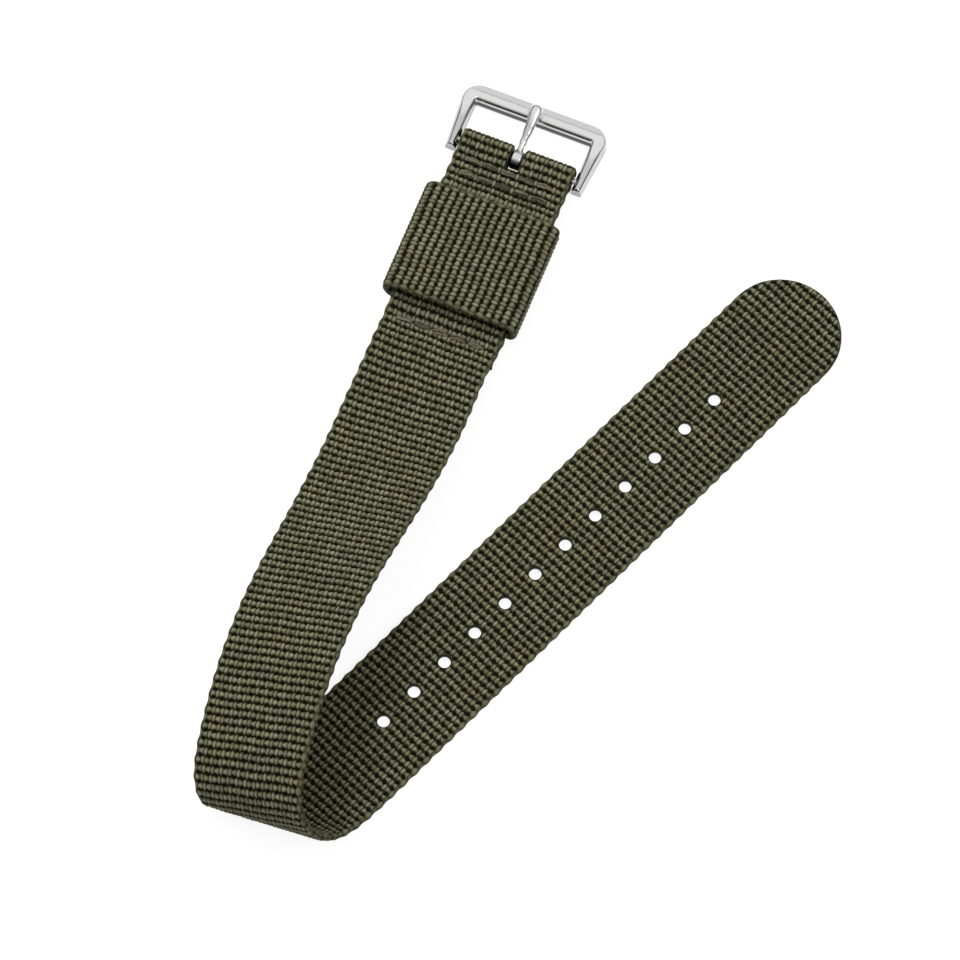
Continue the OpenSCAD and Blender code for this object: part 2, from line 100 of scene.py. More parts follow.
def helpers(tree):
    """Builders for a tree: node adds a node with values and settings, and join links two sockets."""
    def node(kind, values=None, **settings):
        added = tree.nodes.new("ShaderNode" + kind)
        for setting, value in settings.items():
            setattr(added, setting, value)
        put(added, values or {})
        return added

    def join(output, socket):
        tree.links.new(output, socket)

    return node, join


def material(name):
    """A new material, its Principled shader, and the helpers of its tree."""
    made = bpy.data.materials.new(name)
    made.use_nodes = True
    return made, made.node_tree.nodes["Principled BSDF"], *helpers(made.node_tree)


def set_ramp(node, stops):
    """Gives a colour ramp its stops: the first and last are its own two, and the others are added between."""
    elements = node.color_ramp.elements
    for element, (at, colour) in zip(elements, (stops[0], stops[-1])):
        element.position, element.color = at, (*colour, 1)
    for at, colour in stops[1:-1]:
        elements.new(at).color = (*colour, 1)


# %% Helper for pieces
def piece(mesh, finish, body, node):
    """Puts a mesh in the scene with its finish, its body and the node that it stands for."""
    mesh.materials.append(finish)
    obj = bpy.data.objects.new(mesh.name, mesh)
    bpy.context.collection.objects.link(obj)
    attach(obj, body)
    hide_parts(node)
    print(mesh.name, len(mesh.polygons) * 2, "triangles")


# %% [markdown]
# ## Floor and light
# The strap is shown on white. The floor is a wide pale sheet. For the camera and for
# shiny metal only, it also glows a little, so it reads as white and keeps a faint shadow
# under the strap, while it throws no extra light on the webbing. A strong soft lamp
# stands above and behind, a wider and weaker one fills in from the front, and the sky
# is pale. The strong lamp is hidden from shiny metal, where it would burn out the flat
# facets. What the metal mirrors is a sky that is bright overhead and dark low down, as
# in a studio: this draws the dark lines along the edges of polished steel.

# %% The floor
floor_half, floor_z = 3, -0.0001
floor_tone, seen_tone, seen_glow = 0.6, 0.30, 0.84
floor_corners = [(x * floor_half, y * floor_half, floor_z) for x, y in ((-1, -1), (1, -1), (1, 1), (-1, 1))]
floor_mesh = bpy.data.meshes.new("floor")
floor_mesh.from_pydata(floor_corners, [], [(0, 1, 2, 3)])
floor = bpy.data.objects.new("floor", floor_mesh)
bpy.context.collection.objects.link(floor)

pale_floor, shader, node, join = material("pale_floor")
path = node("LightPath")
seen = node("Math", operation="MAXIMUM")
join(path.outputs["Is Camera Ray"], seen.inputs[0])
join(path.outputs["Is Glossy Ray"], seen.inputs[1])
tone = node("Mix", {"A": (*[floor_tone] * 3, 1), "B": (*[seen_tone] * 3, 1)}, data_type="RGBA")
join(seen.outputs[0], tone.inputs["Factor"])
join(tone.outputs["Result"], shader.inputs["Base Color"])
glow = node("Math", {1: seen_glow}, operation="MULTIPLY")
join(seen.outputs[0], glow.inputs[0])
join(glow.outputs[0], shader.inputs["Emission Strength"])
put(shader, {"Emission Color": (1, 1, 1, 1), "Roughness": 1, "Specular IOR Level": 0})
floor_mesh.materials.append(pale_floor)
print("floor", 2 * floor_half, "m wide")

# %% Sky and lamps
world = bpy.data.worlds.new("sky")
bpy.context.scene.world = world
world.use_nodes = True
sky = world.node_tree.nodes["Background"]
node, join = helpers(world.node_tree)
put(sky, {"Strength": 0.55})
direction = node("TexCoord")
parts = node("SeparateXYZ")
heights = node("ValToRGB")
set_ramp(heights, [(0.22, (0.10, 0.10, 0.11)), (0.60, (1.75, 1.75, 1.75))])
path = node("LightPath")
mirrored = node("Mix", {"A": (1, 1, 1, 1)}, data_type="RGBA")
join(direction.outputs["Generated"], parts.inputs[0])
join(parts.outputs["Z"], heights.inputs["Fac"])
join(path.outputs["Is Glossy Ray"], mirrored.inputs["Factor"])
join(heights.outputs["Color"], mirrored.inputs["B"])
join(mirrored.outputs["Result"], sky.inputs["Color"])


def lamp(name, place, size, power):
    """A square soft lamp at a place in metres, turned to the strap."""
    light = bpy.data.lights.new(name, "AREA")
    light.size, light.energy = size, power
    obj = bpy.data.objects.new(name, light)
    bpy.context.collection.objects.link(obj)
    obj.location = place
    obj.rotation_euler = (-place).to_track_quat("-Z", "Y").to_euler()
    return obj


lamp("key", seen_at(-250, 500, 800), 0.35, 5.5).visible_glossy = False
lamp("fill", seen_at(500, -300, 700), 0.6, 2.0)
bpy.context.scene.view_settings.view_transform = "Standard"
print("lamps:", [light.name for light in bpy.data.lights])

# %% [markdown]
# ## The course of the band
# The strap is one flat ribbon. It lies flat, lifts, turns over in a slanted fold,
# crosses in a low arch and lands flat on the way to the buckle. A ribbon can't stretch,
# so it may only bend about straight lines that lie in it. Five smooth bends, each with
# its own length, angle and slant, add up to this course: walking along the middle line
# step by step and turning a small frame of three directions gives every place on it.

# %% Sizes of the band
web_w, web_t = 18.0, 1.25
half_w, half_t = web_w / 2, web_t / 2
hole_d, hole_pitch, hole_count, hole_first, flat_rest = 1.85, 6.35, 12, 23.3, 5.7
tip_at = hole_first + (hole_count - 1) * hole_pitch + flat_rest
bar_run = 137.2
bend_start = np.array([0, 8.7, 13.1, 2.9, 55.1])
bend_half = np.array([9.1, 7.3, 10.4, 43.8, 32.4])
bend_turn = np.radians([7.4, 46.1, 94, 47.4, -30.2])
bend_slant = np.tan(np.radians([-38, -33.8, -3.4, -11.4, 30.6]))
straight_to, fold_bend, quiet_bend = 0.5, 2, np.radians(1.15)
land_from, land_to = bar_run - 41, bar_run - 33
print("from the tip to the first bend", round(tip_at, 2), "mm, and on to the bar", bar_run, "mm")


# %% Small tools
def ease(x):
    """A smooth step: 0 below 0, 1 above 1, and half a cosine wave between."""
    return (1 - np.cos(np.pi * np.clip(x, 0, 1))) / 2


def mix(a, b, f):
    """a where f is 0 and b where f is 1."""
    return a * (1 - f) + b * f


def unit(v):
    """Vectors scaled to length 1."""
    return v / np.linalg.norm(v, axis=-1, keepdims=True)


def turned(v, axis, angle):
    """v turned about a unit axis: cosine by v, sine by the cross product, and the rest along the axis."""
    return v * np.cos(angle) + np.cross(axis, v) * np.sin(angle) + axis * (axis @ v) * (1 - np.cos(angle))


# %% The course
def rates(s):
    """Bend and twist at distance s, in radians per mm: each stretch is a raised cosine of its own turn."""
    x = (np.asarray(s, float)[..., None] - bend_start) / bend_half - 1
    hump = np.where(abs(x) < 1, bend_turn * (1 + np.cos(np.pi * x)) / (2 * bend_half), 0)
    return hump.sum(-1), (hump * bend_slant).sum(-1)


def lean(s):
    """How far the fold line at s runs along the band for each mm across: twist over bend.

    From the fold on, a small quiet bend is added to the divisor, so that the lean fades out where the band is
    straight. In the flat leg it is the first bend's slant."""
    bend, twist = rates(s)
    quiet = quiet_bend * ease((s - bend_start[fold_bend]) / bend_half[fold_bend])
    return np.where(s < straight_to, bend_slant[0], twist * bend / np.maximum(bend**2 + quiet**2, 1e-12))


def walked():
    """The course in steps of 1 mm: middle point, direction along, direction across and normal."""
    q = np.array([[0, 0, half_t], [-1, 0, 0], [0, -1, 0], [0, 0, 1.0]])
    places = [q]
    for i in range(int(land_to) + 1):
        bend, twist = rates(i + 0.5)
        turn = -(q[2] * bend + q[1] * twist)
        angle = np.linalg.norm(turn)
        axis = turn / angle if angle > 0 else q[2]
        q = np.array([q[0] + turned(q[1], axis, angle / 2)] + [turned(v, axis, angle) for v in q[1:]])
        places.append(q)
    return np.array(places)


course = walked()


def on_course(s):
    """Place at distance s: straight between two steps, and straight back in the flat leg before them."""
    x = np.clip(s, 0, len(course) - 1 - 1e-9)
    i = x.astype(int)
    f = (x - i)[..., None]
    q = [mix(course[i, j], course[i + 1, j], f) for j in range(4)]
    q[0] = q[0] - np.minimum(s, 0)[..., None] * np.array([1.0, 0, 0])
    return [q[0]] + [unit(v) for v in q[1:]]


landing = [v[0] for v in on_course(np.array([land_from]))]
ahead = unit(landing[1] * [1, 1, 0])
aside = np.array([ahead[1], -ahead[0], 0])
print("the course lands", round(float(landing[0][2]), 2), "mm above the table")

# %% [markdown]
# ## The buckle end
# Here the band is double. Its tail comes back under it after it has turned round the
# spring bar, and the keeper's lower run lies between the two layers. The heights of both
# layers are functions of the distance behind the bar, made of smooth steps, so that they
# close at the rows of stitches and part under the keeper.

# %% Heights of the two layers
fold_r = 0.81
fold_mid, bar_z = fold_r + half_t, fold_r + web_t
first_seam, second_seam = 3.2, 5.4
keeper_place, keeper_play, part_len = 9.2, 1.0, 2.0
run_play, seam_lift, seam_play = 0.3, 0.25, 0.1
parted_low = half_t
parted_high = parted_low + 2 * web_t + run_play
seam_mid = (parted_low + parted_high) / 2 + seam_lift
closed_high, closed_low = seam_mid + (web_t + seam_play) / 2, seam_mid - (web_t + seam_play) / 2
part_near = keeper_place - keeper_play - part_len
part_far = keeper_place + web_w + keeper_play + part_len
third_seam = part_far + 0.4
tail_len = third_seam + 2.0
leg_high, rise_after, rise_len = parted_high + 0.1, 0.6, 4
up = np.array([0, 0, 1.0])


def upper_z(d):
    """Height of the upper layer's middle at distance d behind the bar."""
    return np.select(
        [d < first_seam, d < keeper_place, d < part_far],
        [mix(bar_z + fold_mid, closed_high, ease(d / first_seam)),
         mix(closed_high, parted_high, ease((d - part_near) / part_len)),
         mix(parted_high, closed_high, ease((d - part_far + part_len) / part_len))],
        mix(closed_high, leg_high, ease((d - third_seam - rise_after) / rise_len)))


def tail_z(d):
    """Height of the tail's middle at distance d behind the bar."""
    return np.select(
        [d < first_seam, d < keeper_place],
        [mix(bar_z - fold_mid, closed_low, ease(d / first_seam)),
         mix(closed_low, parted_low, ease((d - part_near) / part_len))],
        mix(parted_low, closed_low, ease((d - part_far + part_len) / part_len)))


print("layers at the stitches", round(closed_low, 2), "and", round(closed_high, 2), "mm above the table")


# %% Places along the two layers
def bar_behind(d, z):
    """Point on the middle line d behind the bar, at height z."""
    along = ahead * (bar_run - land_from - d)[..., None]
    return landing[0] * [1, 1, 0] + along + up * np.asarray(z)[..., None]


def layer(d, height, near=0.05):
    """Place on a layer of the given height: point, direction to the buckle, across, and the normal down."""
    rise = (height(d - near) - height(d + near)) / (2 * near)
    along = unit(ahead + up * rise[..., None])
    across = np.broadcast_to(aside, along.shape)
    return [bar_behind(d, height(d)), along, across, np.cross(along, across)]


def place(s):
    """Place on the band from the flat leg to the bar: the course, then the upper layer, blended between."""
    a, b = on_course(s), layer(bar_run - s, upper_z)
    f = ease((s - land_from) / (land_to - land_from))[..., None]
    q = [mix(a[j], b[j], f) for j in range(4)]
    return [q[0]] + [unit(v) for v in q[1:]]


def fold_foot(u, v, halvings=18):
    """Distance s whose fold line passes u along and v across the band, found by halving a range."""
    low, high = u - half_w, u + half_w
    for _ in range(halvings):
        s = (low + high) / 2
        past = s + v * lean(s) > u
        low, high = np.where(past, low, s), np.where(past, s, high)
    return (low + high) / 2


# %% Points of the band
turn_to_y = math.radians(90) - math.atan2(ahead[1], ahead[0])
bar_centre = (np.array(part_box("bar_tube")[0]) + np.array(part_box("bar_tube")[1])) / 2 * 1000
bar_foot = bar_centre * [1, 1, 0]
leg_len = tip_at + bar_run
arc_len = math.pi * fold_mid
band_len = leg_len + arc_len + tail_len


def turned_to_y(p):
    """Points turned about the upright axis until the buckle is towards +Y."""
    c, s = math.cos(turn_to_y), math.sin(turn_to_y)
    return np.stack([p[..., 0] * c - p[..., 1] * s, p[..., 0] * s + p[..., 1] * c, p[..., 2]], -1)


def band_point(x, y, h):
    """Point x along the band from its tip, y across and h above its middle, in the model's axes.

    The leg follows the course with its fold lines, then comes half a turn round the bar, then the tail."""
    x, y, h = np.broadcast_arrays(x, y, h)
    out = np.empty(x.shape + (3,))
    leg, tail = x <= leg_len, x >= leg_len + arc_len
    arc = ~leg & ~tail
    y_, h_ = y[..., None], h[..., None]
    s = fold_foot(x[leg] - tip_at, y[leg])
    middle, along, across, normal = place(s)
    out[leg] = middle + (across + along * lean(s)[:, None]) * y_[leg] + normal * h_[leg]
    bar = bar_behind(np.zeros(1), np.full(1, bar_z))
    angle = ((x[arc] - leg_len) / fold_mid)[:, None]
    outwards = ahead * np.sin(angle) + up * np.cos(angle)
    out[arc] = bar + outwards * (fold_mid - h_[arc]) + aside * y_[arc]
    middle, along, across, normal = layer(x[tail] - leg_len - arc_len, tail_z)
    out[tail] = middle + across * y_[tail] - normal * h_[tail]
    return turned_to_y(out) - turned_to_y(bar[0]) + bar_centre


tip_point = band_point(np.zeros(1), np.zeros(1), np.zeros(1))[0]
print("band", round(band_len, 1), "mm long")
print("bar at", np.round(bar_centre, 2), "and tip at", np.round(tip_point, 2))

# %% [markdown]
# ## The weave
# The webbing is a thick ribbed weave: heavy yarns run across it as ribs, 1.2 mm apart,
# and bundles of thin yarn pass over each rib as beads. Each rib repeats one short wide
# bead and one long bead that tapers to a neck, every 1.46 mm, and the next rib is its
# mirror image, which leaves small dark pits where the necks meet. A bump map would look
# flat from the side, so the beads are real relief: a height function of the place on the
# webbing, the same for the band and the keeper. Along both edges runs a row of larger
# beads.

# %% The relief of the weave
rib_pitch, bead_pitch, relief = 1.2167, 1.46, 0.40
rib_half, core_half, core_high = 0.62, 0.40, 0.60
wide_half, long_half, long_at, long_high = 0.300, 0.430, 0.73, 0.97
neck_half, neck_from, neck_len, repeat_from = 0.29, 0.42, 0.50, 0.158


def chance(i, j, k=0):
    """A number from 0 to 1 that looks random but is always the same for the same whole numbers."""
    x = np.sin(i * 12.9898 + j * 78.233 + k * 37.719) * 43758.5453
    return x - np.floor(x)


def dome(across, along=0):
    """A bead's height: the root of 1 minus its two shares, which make 1 at its rim, and 0 outside."""
    return np.sqrt(np.clip(1 - across - along, 0, 1))


def weave(x, y, bold):
    """Height from 0 in the pits to 1 on the beads, and each bead's own tone.

    The yarns wander a little. The rib is the whole part of x over the pitch, a is the offset from its middle,
    and c is the place in its repeat, which runs the other way on every second rib. A bead is a dome of powers
    of a and of the offset along the rib. bold is 0 on the band's wrist side and 1 or more on the other faces,
    where the beads have fuller necks."""
    x = x + 0.05 * np.sin(y * 0.9 + 0.4 * np.sin(x * 0.21)) + 0.04 * np.sin(x * 0.37)
    y = y + 0.05 * np.sin(x * 0.53 + 1.7)
    rib = np.floor(x / rib_pitch)
    a = x - (rib + 0.5) * rib_pitch
    side = 1 - 2 * (rib % 2)
    at = (y * side + repeat_from) / bead_pitch
    c = (at - np.floor(at)) * bead_pitch
    wide_c = np.where(c > bead_pitch / 2, c - bead_pitch, c)
    bead = np.floor(at + 0.25)
    kind = np.where(np.abs(wide_c) < wide_half, 1, 2)
    tone = chance(rib, bead, kind)
    a = a + 0.07 * (chance(bead, rib, kind + 3) - 0.5)
    power = 2.2 + 0.3 * bold
    wide = dome(np.abs(a / rib_half) ** power, np.abs(wide_c / wide_half) ** 3)
    width = mix(rib_half - 0.03 * bold, neck_half + 0.08 * bold, ease((c - neck_from) / neck_len))
    long_bead = long_high * dome(np.abs(a / width) ** power, np.abs((c - long_at) / long_half) ** 4)
    core = core_high * dome(np.abs(a / core_half) ** 2)
    height = np.maximum(np.maximum(wide, long_bead), core)
    return height * (0.92 + 0.08 * tone), tone


sample = np.meshgrid(np.linspace(0, 10, 200), np.linspace(-6, 6, 200))
mean_high = float(weave(*sample, 1)[0].mean())
print("mean height of the weave:", round(mean_high, 2), "of its relief of", relief, "mm")

# %% The woven edges
loop_pitch = 2 * rib_pitch
row_at, row_from, row_fade, row_sink = 8.72, 8.35, 0.35, 0.22
row_high, row_half, row_len_half = 0.86, 0.46, 0.88


def loop_number(x, y):
    """Place along an edge in loops: the weft turns there once every two ribs, by turns at the two edges."""
    return x / loop_pitch + np.where(y > 0, 0.25, 0.75)


def woven(x, y, bold):
    """The weave with a row of larger beads along each edge, each bead a dome round its loop's middle."""
    height, tone = weave(x, y, bold)
    at, off = loop_number(x, y), np.abs(y) - row_at
    a = (at - np.floor(at) - 0.5) * loop_pitch
    row = row_high * dome(np.abs(a / row_len_half) ** 2.0, np.abs(off / row_half) ** 2.0)
    share = ease((np.abs(y) - row_from) / row_fade)
    loop_tone = chance(np.floor(at), np.sign(y), 7)
    return np.maximum(height * (1 - row_sink * share), row * share), mix(tone, loop_tone, share)


# %% [markdown]
# ## Closed sheets
# Band and keeper are both a sheet with a front, a back and narrow edges, and both may
# have openings. One function turns two grids of points into a closed mesh: the front,
# the back turned round, a wall along each edge, and a wall round each opening. A long
# sheet is made as several closed pieces, so that none has too many triangles. Two
# neighbours share the same line of points, and no join shows.

# %% Meshes from arrays
def grid_faces(index):
    """Quads of a grid of vertex numbers, with the corners in order."""
    return np.stack([index[:-1, :-1], index[1:, :-1], index[1:, 1:], index[:-1, 1:]], -1).reshape(-1, 4)


def wrapped(index, axis):
    """A grid of vertex numbers with its first line again after the last, which closes it round."""
    return np.concatenate([index, index.take([0], axis)], axis)


def mesh_of(name, points, quads, flat=None, **layers):
    """A mesh in metres from points in mm and quads, smooth but for the flat ones.

    layers are values for each point: uv of two numbers, or an attribute of one."""
    mesh = bpy.data.meshes.new(name)
    mesh.vertices.add(len(points))
    mesh.vertices.foreach_set("co", (points / 1000).astype(np.float32).ravel())
    mesh.loops.add(quads.size)
    mesh.loops.foreach_set("vertex_index", quads.astype(np.int32).ravel())
    mesh.polygons.add(len(quads))
    mesh.polygons.foreach_set("loop_start", np.arange(0, quads.size, 4, dtype=np.int32))
    mesh.polygons.foreach_set("loop_total", np.full(len(quads), 4, np.int32))
    mesh.update(calc_edges=True)
    mesh.polygons.foreach_set("use_smooth", np.ones(len(quads), bool) if flat is None else ~flat)
    for key, values in layers.items():
        if key == "uv":
            uv = mesh.uv_layers.new(name="along_across")
            uv.data.foreach_set("uv", values[quads.ravel()].astype(np.float32).ravel())
        else:
            attribute = mesh.attributes.new(key, "FLOAT", "POINT")
            attribute.data.foreach_set("value", values.astype(np.float32))
    mesh.validate()
    mesh.update()
    return mesh


# %% Sheets from grids
wall_rows = (0.3, 0.7)
# Hole walls take the full melted colour, near black: partly the melt's own colour, partly painted shade.
wall_values = {"height": 0.5, "tone": 0.5, "melt": 1.0}


def rim_of(i0, i1, j0, j1):
    """Grid places round the rectangle from i0 to i1 and j0 to j1, once round."""
    i, j = np.arange(i0, i1), np.arange(j0, j1)
    return (np.concatenate([i, np.full(len(j), i1), i[::-1] + 1, np.full(len(j), i0)]),
            np.concatenate([np.full(len(i), j0), j, np.full(len(i), j1), j[::-1] + 1]))


def sheet(name, x, y, top, low, to_space, values, openings=()):
    """A closed sheet from grids: x along, y across, and the heights of its two faces.

    to_space(x, y, h) gives the points. values hold a pair of grids for the two faces under each name.
    openings are rectangles of the grid, and each gets a wall with two rows of its own."""
    n, m = x.shape
    keep = np.ones((n - 1, m - 1), bool)
    for i0, i1, j0, j1 in openings:
        keep[i0:i1, j0:j1] = False
    front = np.arange(n * m).reshape(n, m)
    back = front + n * m
    places = [np.stack([v.ravel() for v in (x, y, h)]) for h in (top, low)]
    layers = {key: [v.ravel() for v in pair] for key, pair in values.items()}
    quads = [grid_faces(front)[keep.ravel()], grid_faces(back)[keep.ravel()][:, ::-1]]
    for j, flip in ((0, 1), (m - 1, -1)):
        quads.append(grid_faces(np.stack([front[:, j], back[:, j]], 1))[:, ::flip])
    for i, flip in ((0, -1), (n - 1, 1)):
        quads.append(grid_faces(np.stack([front[i], back[i]], 1))[:, ::flip])
    flat_to = sum(len(q) for q in quads)
    count = 2 * n * m
    for opening in openings:
        i, j = rim_of(*opening)
        rows = [front[i, j]]
        for f in wall_rows:
            places.append(np.stack([x[i, j], y[i, j], mix(top[i, j], low[i, j], f)]))
            for key in layers:
                layers[key].append(np.full(len(i), wall_values[key]))
            rows.append(np.arange(count, count + len(i)))
            count += len(i)
        rows.append(back[i, j])
        quads.append(grid_faces(wrapped(np.stack(rows, 1), 0))[:, ::-1])
    quads = np.concatenate(quads)
    flat = np.zeros(len(quads), bool)
    flat[flat_to - 2 * (m - 1):flat_to] = True
    in_use = np.zeros(count, bool)
    in_use[quads.ravel()] = True
    number = np.cumsum(in_use) - 1
    x, y, h = np.concatenate(places, 1)[:, in_use]
    layers = {key: np.concatenate(v)[in_use] for key, v in layers.items()}
    return mesh_of(name, to_space(x, y, h), number[quads], flat, uv=np.stack([x, y], 1), **layers)


# %% [markdown]
# ## The webbing's colour
# The yarn is olive green nylon. The colour falls from bead to pit with the relief's own
# height: the beads are lighter, and the pits between them are painted dark as shade.
# Slow noise gives the uneven dye, each bead has its own tone, and fine lines along the
# yarn show its filaments. Near heat-cut edges the nylon is melted: smooth, a little
# glossy and dark, which is partly its own colour and partly painted shade at the holes.

# %% Patterns of the webbing
def noise_bump(node, join, noise, shader, strength, distance):
    """Joins a noise to a shader's normal as a bump, with its distance in metres."""
    bump = node("Bump", {"Strength": strength, "Distance": distance})
    join(noise.outputs["Fac"], bump.inputs["Height"])
    join(bump.outputs[0], shader.inputs["Normal"])


webbing, shader, node, join = material("olive_webbing")
height, tone, melt = (node("Attribute", attribute_name=name) for name in ("height", "tone", "melt"))
along_across = node("UVMap", uv_map="along_across")
yarn_lines = node("Mapping", {"Scale": (1.6, 16, 1)})
filaments = node("TexNoise", {"Scale": 1, "Detail": 2})
join(along_across.outputs[0], yarn_lines.inputs["Vector"])
join(yarn_lines.outputs[0], filaments.inputs["Vector"])
spot = node("TexCoord")
dye = node("TexNoise", {"Scale": 260, "Detail": 3})
join(spot.outputs["Object"], dye.inputs["Vector"])
noise_bump(node, join, filaments, shader, 0.35, 0.00005)

# %% Colour of the webbing
# Painted shade: this ramp darkens the colour from bead to pit with the relief's height, so the pits are near
# black.
painted_pit_shade = node("ValToRGB")
set_ramp(painted_pit_shade, [(0.0, (0.0030, 0.0027, 0.0002)), (0.25, (0.010, 0.0093, 0.0018)),
                 (0.5, (0.039, 0.0375, 0.017)), (0.75, (0.108, 0.105, 0.061)), (1.0, (0.228, 0.226, 0.156))])
join(height.outputs["Fac"], painted_pit_shade.inputs["Fac"])
bead_share = node("Math", {1: 0.30, 2: 0.85}, operation="MULTIPLY_ADD")
line_share = node("Math", {1: 0.5, 2: 0.75}, operation="MULTIPLY_ADD")
both = node("Math", operation="MULTIPLY")
join(tone.outputs["Fac"], bead_share.inputs[0])
join(filaments.outputs["Fac"], line_share.inputs[0])
join(bead_share.outputs[0], both.inputs[0])
join(line_share.outputs[0], both.inputs[1])
toned = node("Mix", {"Factor": 1}, data_type="RGBA", blend_type="MULTIPLY")
join(painted_pit_shade.outputs["Color"], toned.inputs["A"])
join(both.outputs[0], toned.inputs["B"])
browner = node("Mix", {"Factor": 1, "B": (1.06, 0.985, 0.91, 1)}, data_type="RGBA", blend_type="MULTIPLY")
dye_share = node("MapRange", {"From Min": 0.5, "From Max": 0.7})
dyed = node("Mix", data_type="RGBA")
join(toned.outputs["Result"], browner.inputs["A"])
join(dye.outputs["Fac"], dye_share.inputs["Value"])
join(dye_share.outputs["Result"], dyed.inputs["Factor"])
join(toned.outputs["Result"], dyed.inputs["A"])
join(browner.outputs["Result"], dyed.inputs["B"])
# Near-black colour of melted rims and hole walls: partly melted nylon, partly painted shade.
melted_and_shaded = node("Mix", {"B": (0.006, 0.0055, 0.004, 1)}, data_type="RGBA")
join(melt.outputs["Fac"], melted_and_shaded.inputs["Factor"])
join(dyed.outputs["Result"], melted_and_shaded.inputs["A"])
join(melted_and_shaded.outputs["Result"], shader.inputs["Base Color"])
smoother = node("MapRange", {"To Min": 0.62, "To Max": 0.35})
join(melt.outputs["Fac"], smoother.inputs["Value"])
join(smoother.outputs["Result"], shader.inputs["Roughness"])
put(shader, {"Specular IOR Level": 0.08})
print(webbing.name, len(webbing.node_tree.nodes), "nodes")

# %% [markdown]
# ## The band
# Its grid has one line of points about every 0.144 mm along and 0.119 mm across: eight
# to a rib and twelve to a repeat of the beads, which keeps them round. Where the tip is
# round the lines draw together, and round each punched hole a small block of the grid is
# pushed out into a ring. The edges are rounded, and every second rib makes a larger loop
# there, because the weft turns.

# %% Grid of the band
tip_rings, near_rings, pitch_rings, past_rings, leg_rings = 88, 99, 44, 40, 935
slot_end_rings, arc_rings, tail_rings = 15, 40, 205
slot_back, slot_past, slot_half, slot_columns = 2.2, 1.6, 0.95, 8
half_columns, column_step, edge_round = 71, 0.11875, 0.5
hole_last = hole_first + (hole_count - 1) * hole_pitch
slot_from, slot_to = leg_len - slot_back, leg_len + arc_len + slot_past


def spread(a, b, n):
    """n steps from a to b, without b."""
    return np.linspace(a, b, n, endpoint=False)


rings = np.concatenate([
    half_w * (1 - np.cos(spread(0.012, math.pi / 2, tip_rings))),
    spread(half_w, hole_first, near_rings),
    spread(hole_first, hole_last, pitch_rings * (hole_count - 1)),
    spread(hole_last, tip_at, past_rings),
    spread(tip_at, slot_from, leg_rings),
    spread(slot_from, leg_len, slot_end_rings),
    spread(leg_len, leg_len + arc_len, arc_rings),
    spread(leg_len + arc_len, slot_to, slot_end_rings),
    np.linspace(slot_to, band_len, tail_rings)])
inner = np.arange(-half_columns, half_columns + 1) * column_step
edge_steps = half_w - edge_round * (1 - np.cos(np.radians(np.arange(72, -1, -18))))
columns = np.concatenate([-edge_steps[::-1], inner, edge_steps])
middle_column = len(columns) // 2
round_tip = np.sqrt(np.clip(half_w**2 - (half_w - rings) ** 2, 1e-4, None))
half_widths = np.where(rings < half_w, round_tip, half_w)
band_x = np.repeat(rings[:, None], len(columns), 1)
band_y = columns[None] * (half_widths / half_w)[:, None]
print(len(rings), "rings of", len(columns), "points")

# %% Holes and slot
hole_r, block, around = hole_d / 2, (5, 6), (11, 13)
first_ring, slot_end = tip_rings + near_rings, len(rings) - tail_rings
slot_rings = (slot_end - 2 * slot_end_rings - arc_rings, slot_end)
di, dj = np.mgrid[-around[0]:around[0] + 1, -around[1]:around[1] + 1]
blocks_out = np.maximum(abs(di) / block[0], abs(dj) / block[1])
windows = []
for k in range(hole_count):
    i0 = first_ring + pitch_rings * k
    part = np.s_[i0 - around[0]:i0 + around[0] + 1, middle_column - around[1]:middle_column + around[1] + 1]
    dx, dy = band_x[part] - rings[i0], band_y[part]
    to_ring = hole_r / np.maximum(np.hypot(dx, dy), 1e-9)
    scale = np.where(blocks_out >= 1, mix(to_ring, 1, np.clip(blocks_out - 1, 0, 1)), 1)
    band_x[part], band_y[part] = rings[i0] + dx * scale, dy * scale
    windows.append((i0 - block[0], i0 + block[0], middle_column - block[1], middle_column + block[1]))
windows.append((*slot_rings, middle_column - slot_columns, middle_column + slot_columns))
print(len(windows) - 1, "holes", hole_d, "mm wide, and a slot", round(slot_to - slot_from, 1), "mm long")

# %% Heat-cut edges
# The melted rim is dark partly as melted nylon and partly as painted shade, widened round the holes and laid
# on their walls.
melt_and_shade_w, uncut = 0.36, 9
hole_x = np.clip(np.round((band_x - hole_first) / hole_pitch), 0, hole_count - 1) * hole_pitch + hole_first
to_hole = np.hypot(band_x - hole_x, band_y) - hole_r
past_slot = np.maximum(np.maximum(slot_from - band_x, band_x - slot_to), 0)
to_slot = np.hypot(np.maximum(abs(band_y) - slot_half, 0), past_slot)
to_edge = half_w - np.hypot(np.minimum(band_x - half_w, 0), band_y)
cut = np.minimum.reduce([to_hole, to_slot, np.where(band_x < half_w, to_edge, uncut), band_len - band_x])
melt_and_shade_rim = 1 - ease(cut / melt_and_shade_w)
print("melted share of the grid", round(float(melt_and_shade_rim.mean()), 3))

# %% Faces of the band
rim_r, melted_high, relief_fade, edge_relief, least_half = 0.25, 0.62, 0.25, 0.35, 0.1


def over_middle(side, from_edge, high, drop=0):
    """Height of a face over the middle: rounded by a quarter circle at the edge, less the relief."""
    near = np.clip(from_edge, 0, edge_round)
    rounded = half_t - edge_round + np.sqrt(edge_round**2 - (edge_round - near) ** 2)
    z = rounded - relief * (1 - high) * np.clip(from_edge / relief_fade, edge_relief, 1) - drop
    return side * np.maximum(z, least_half)


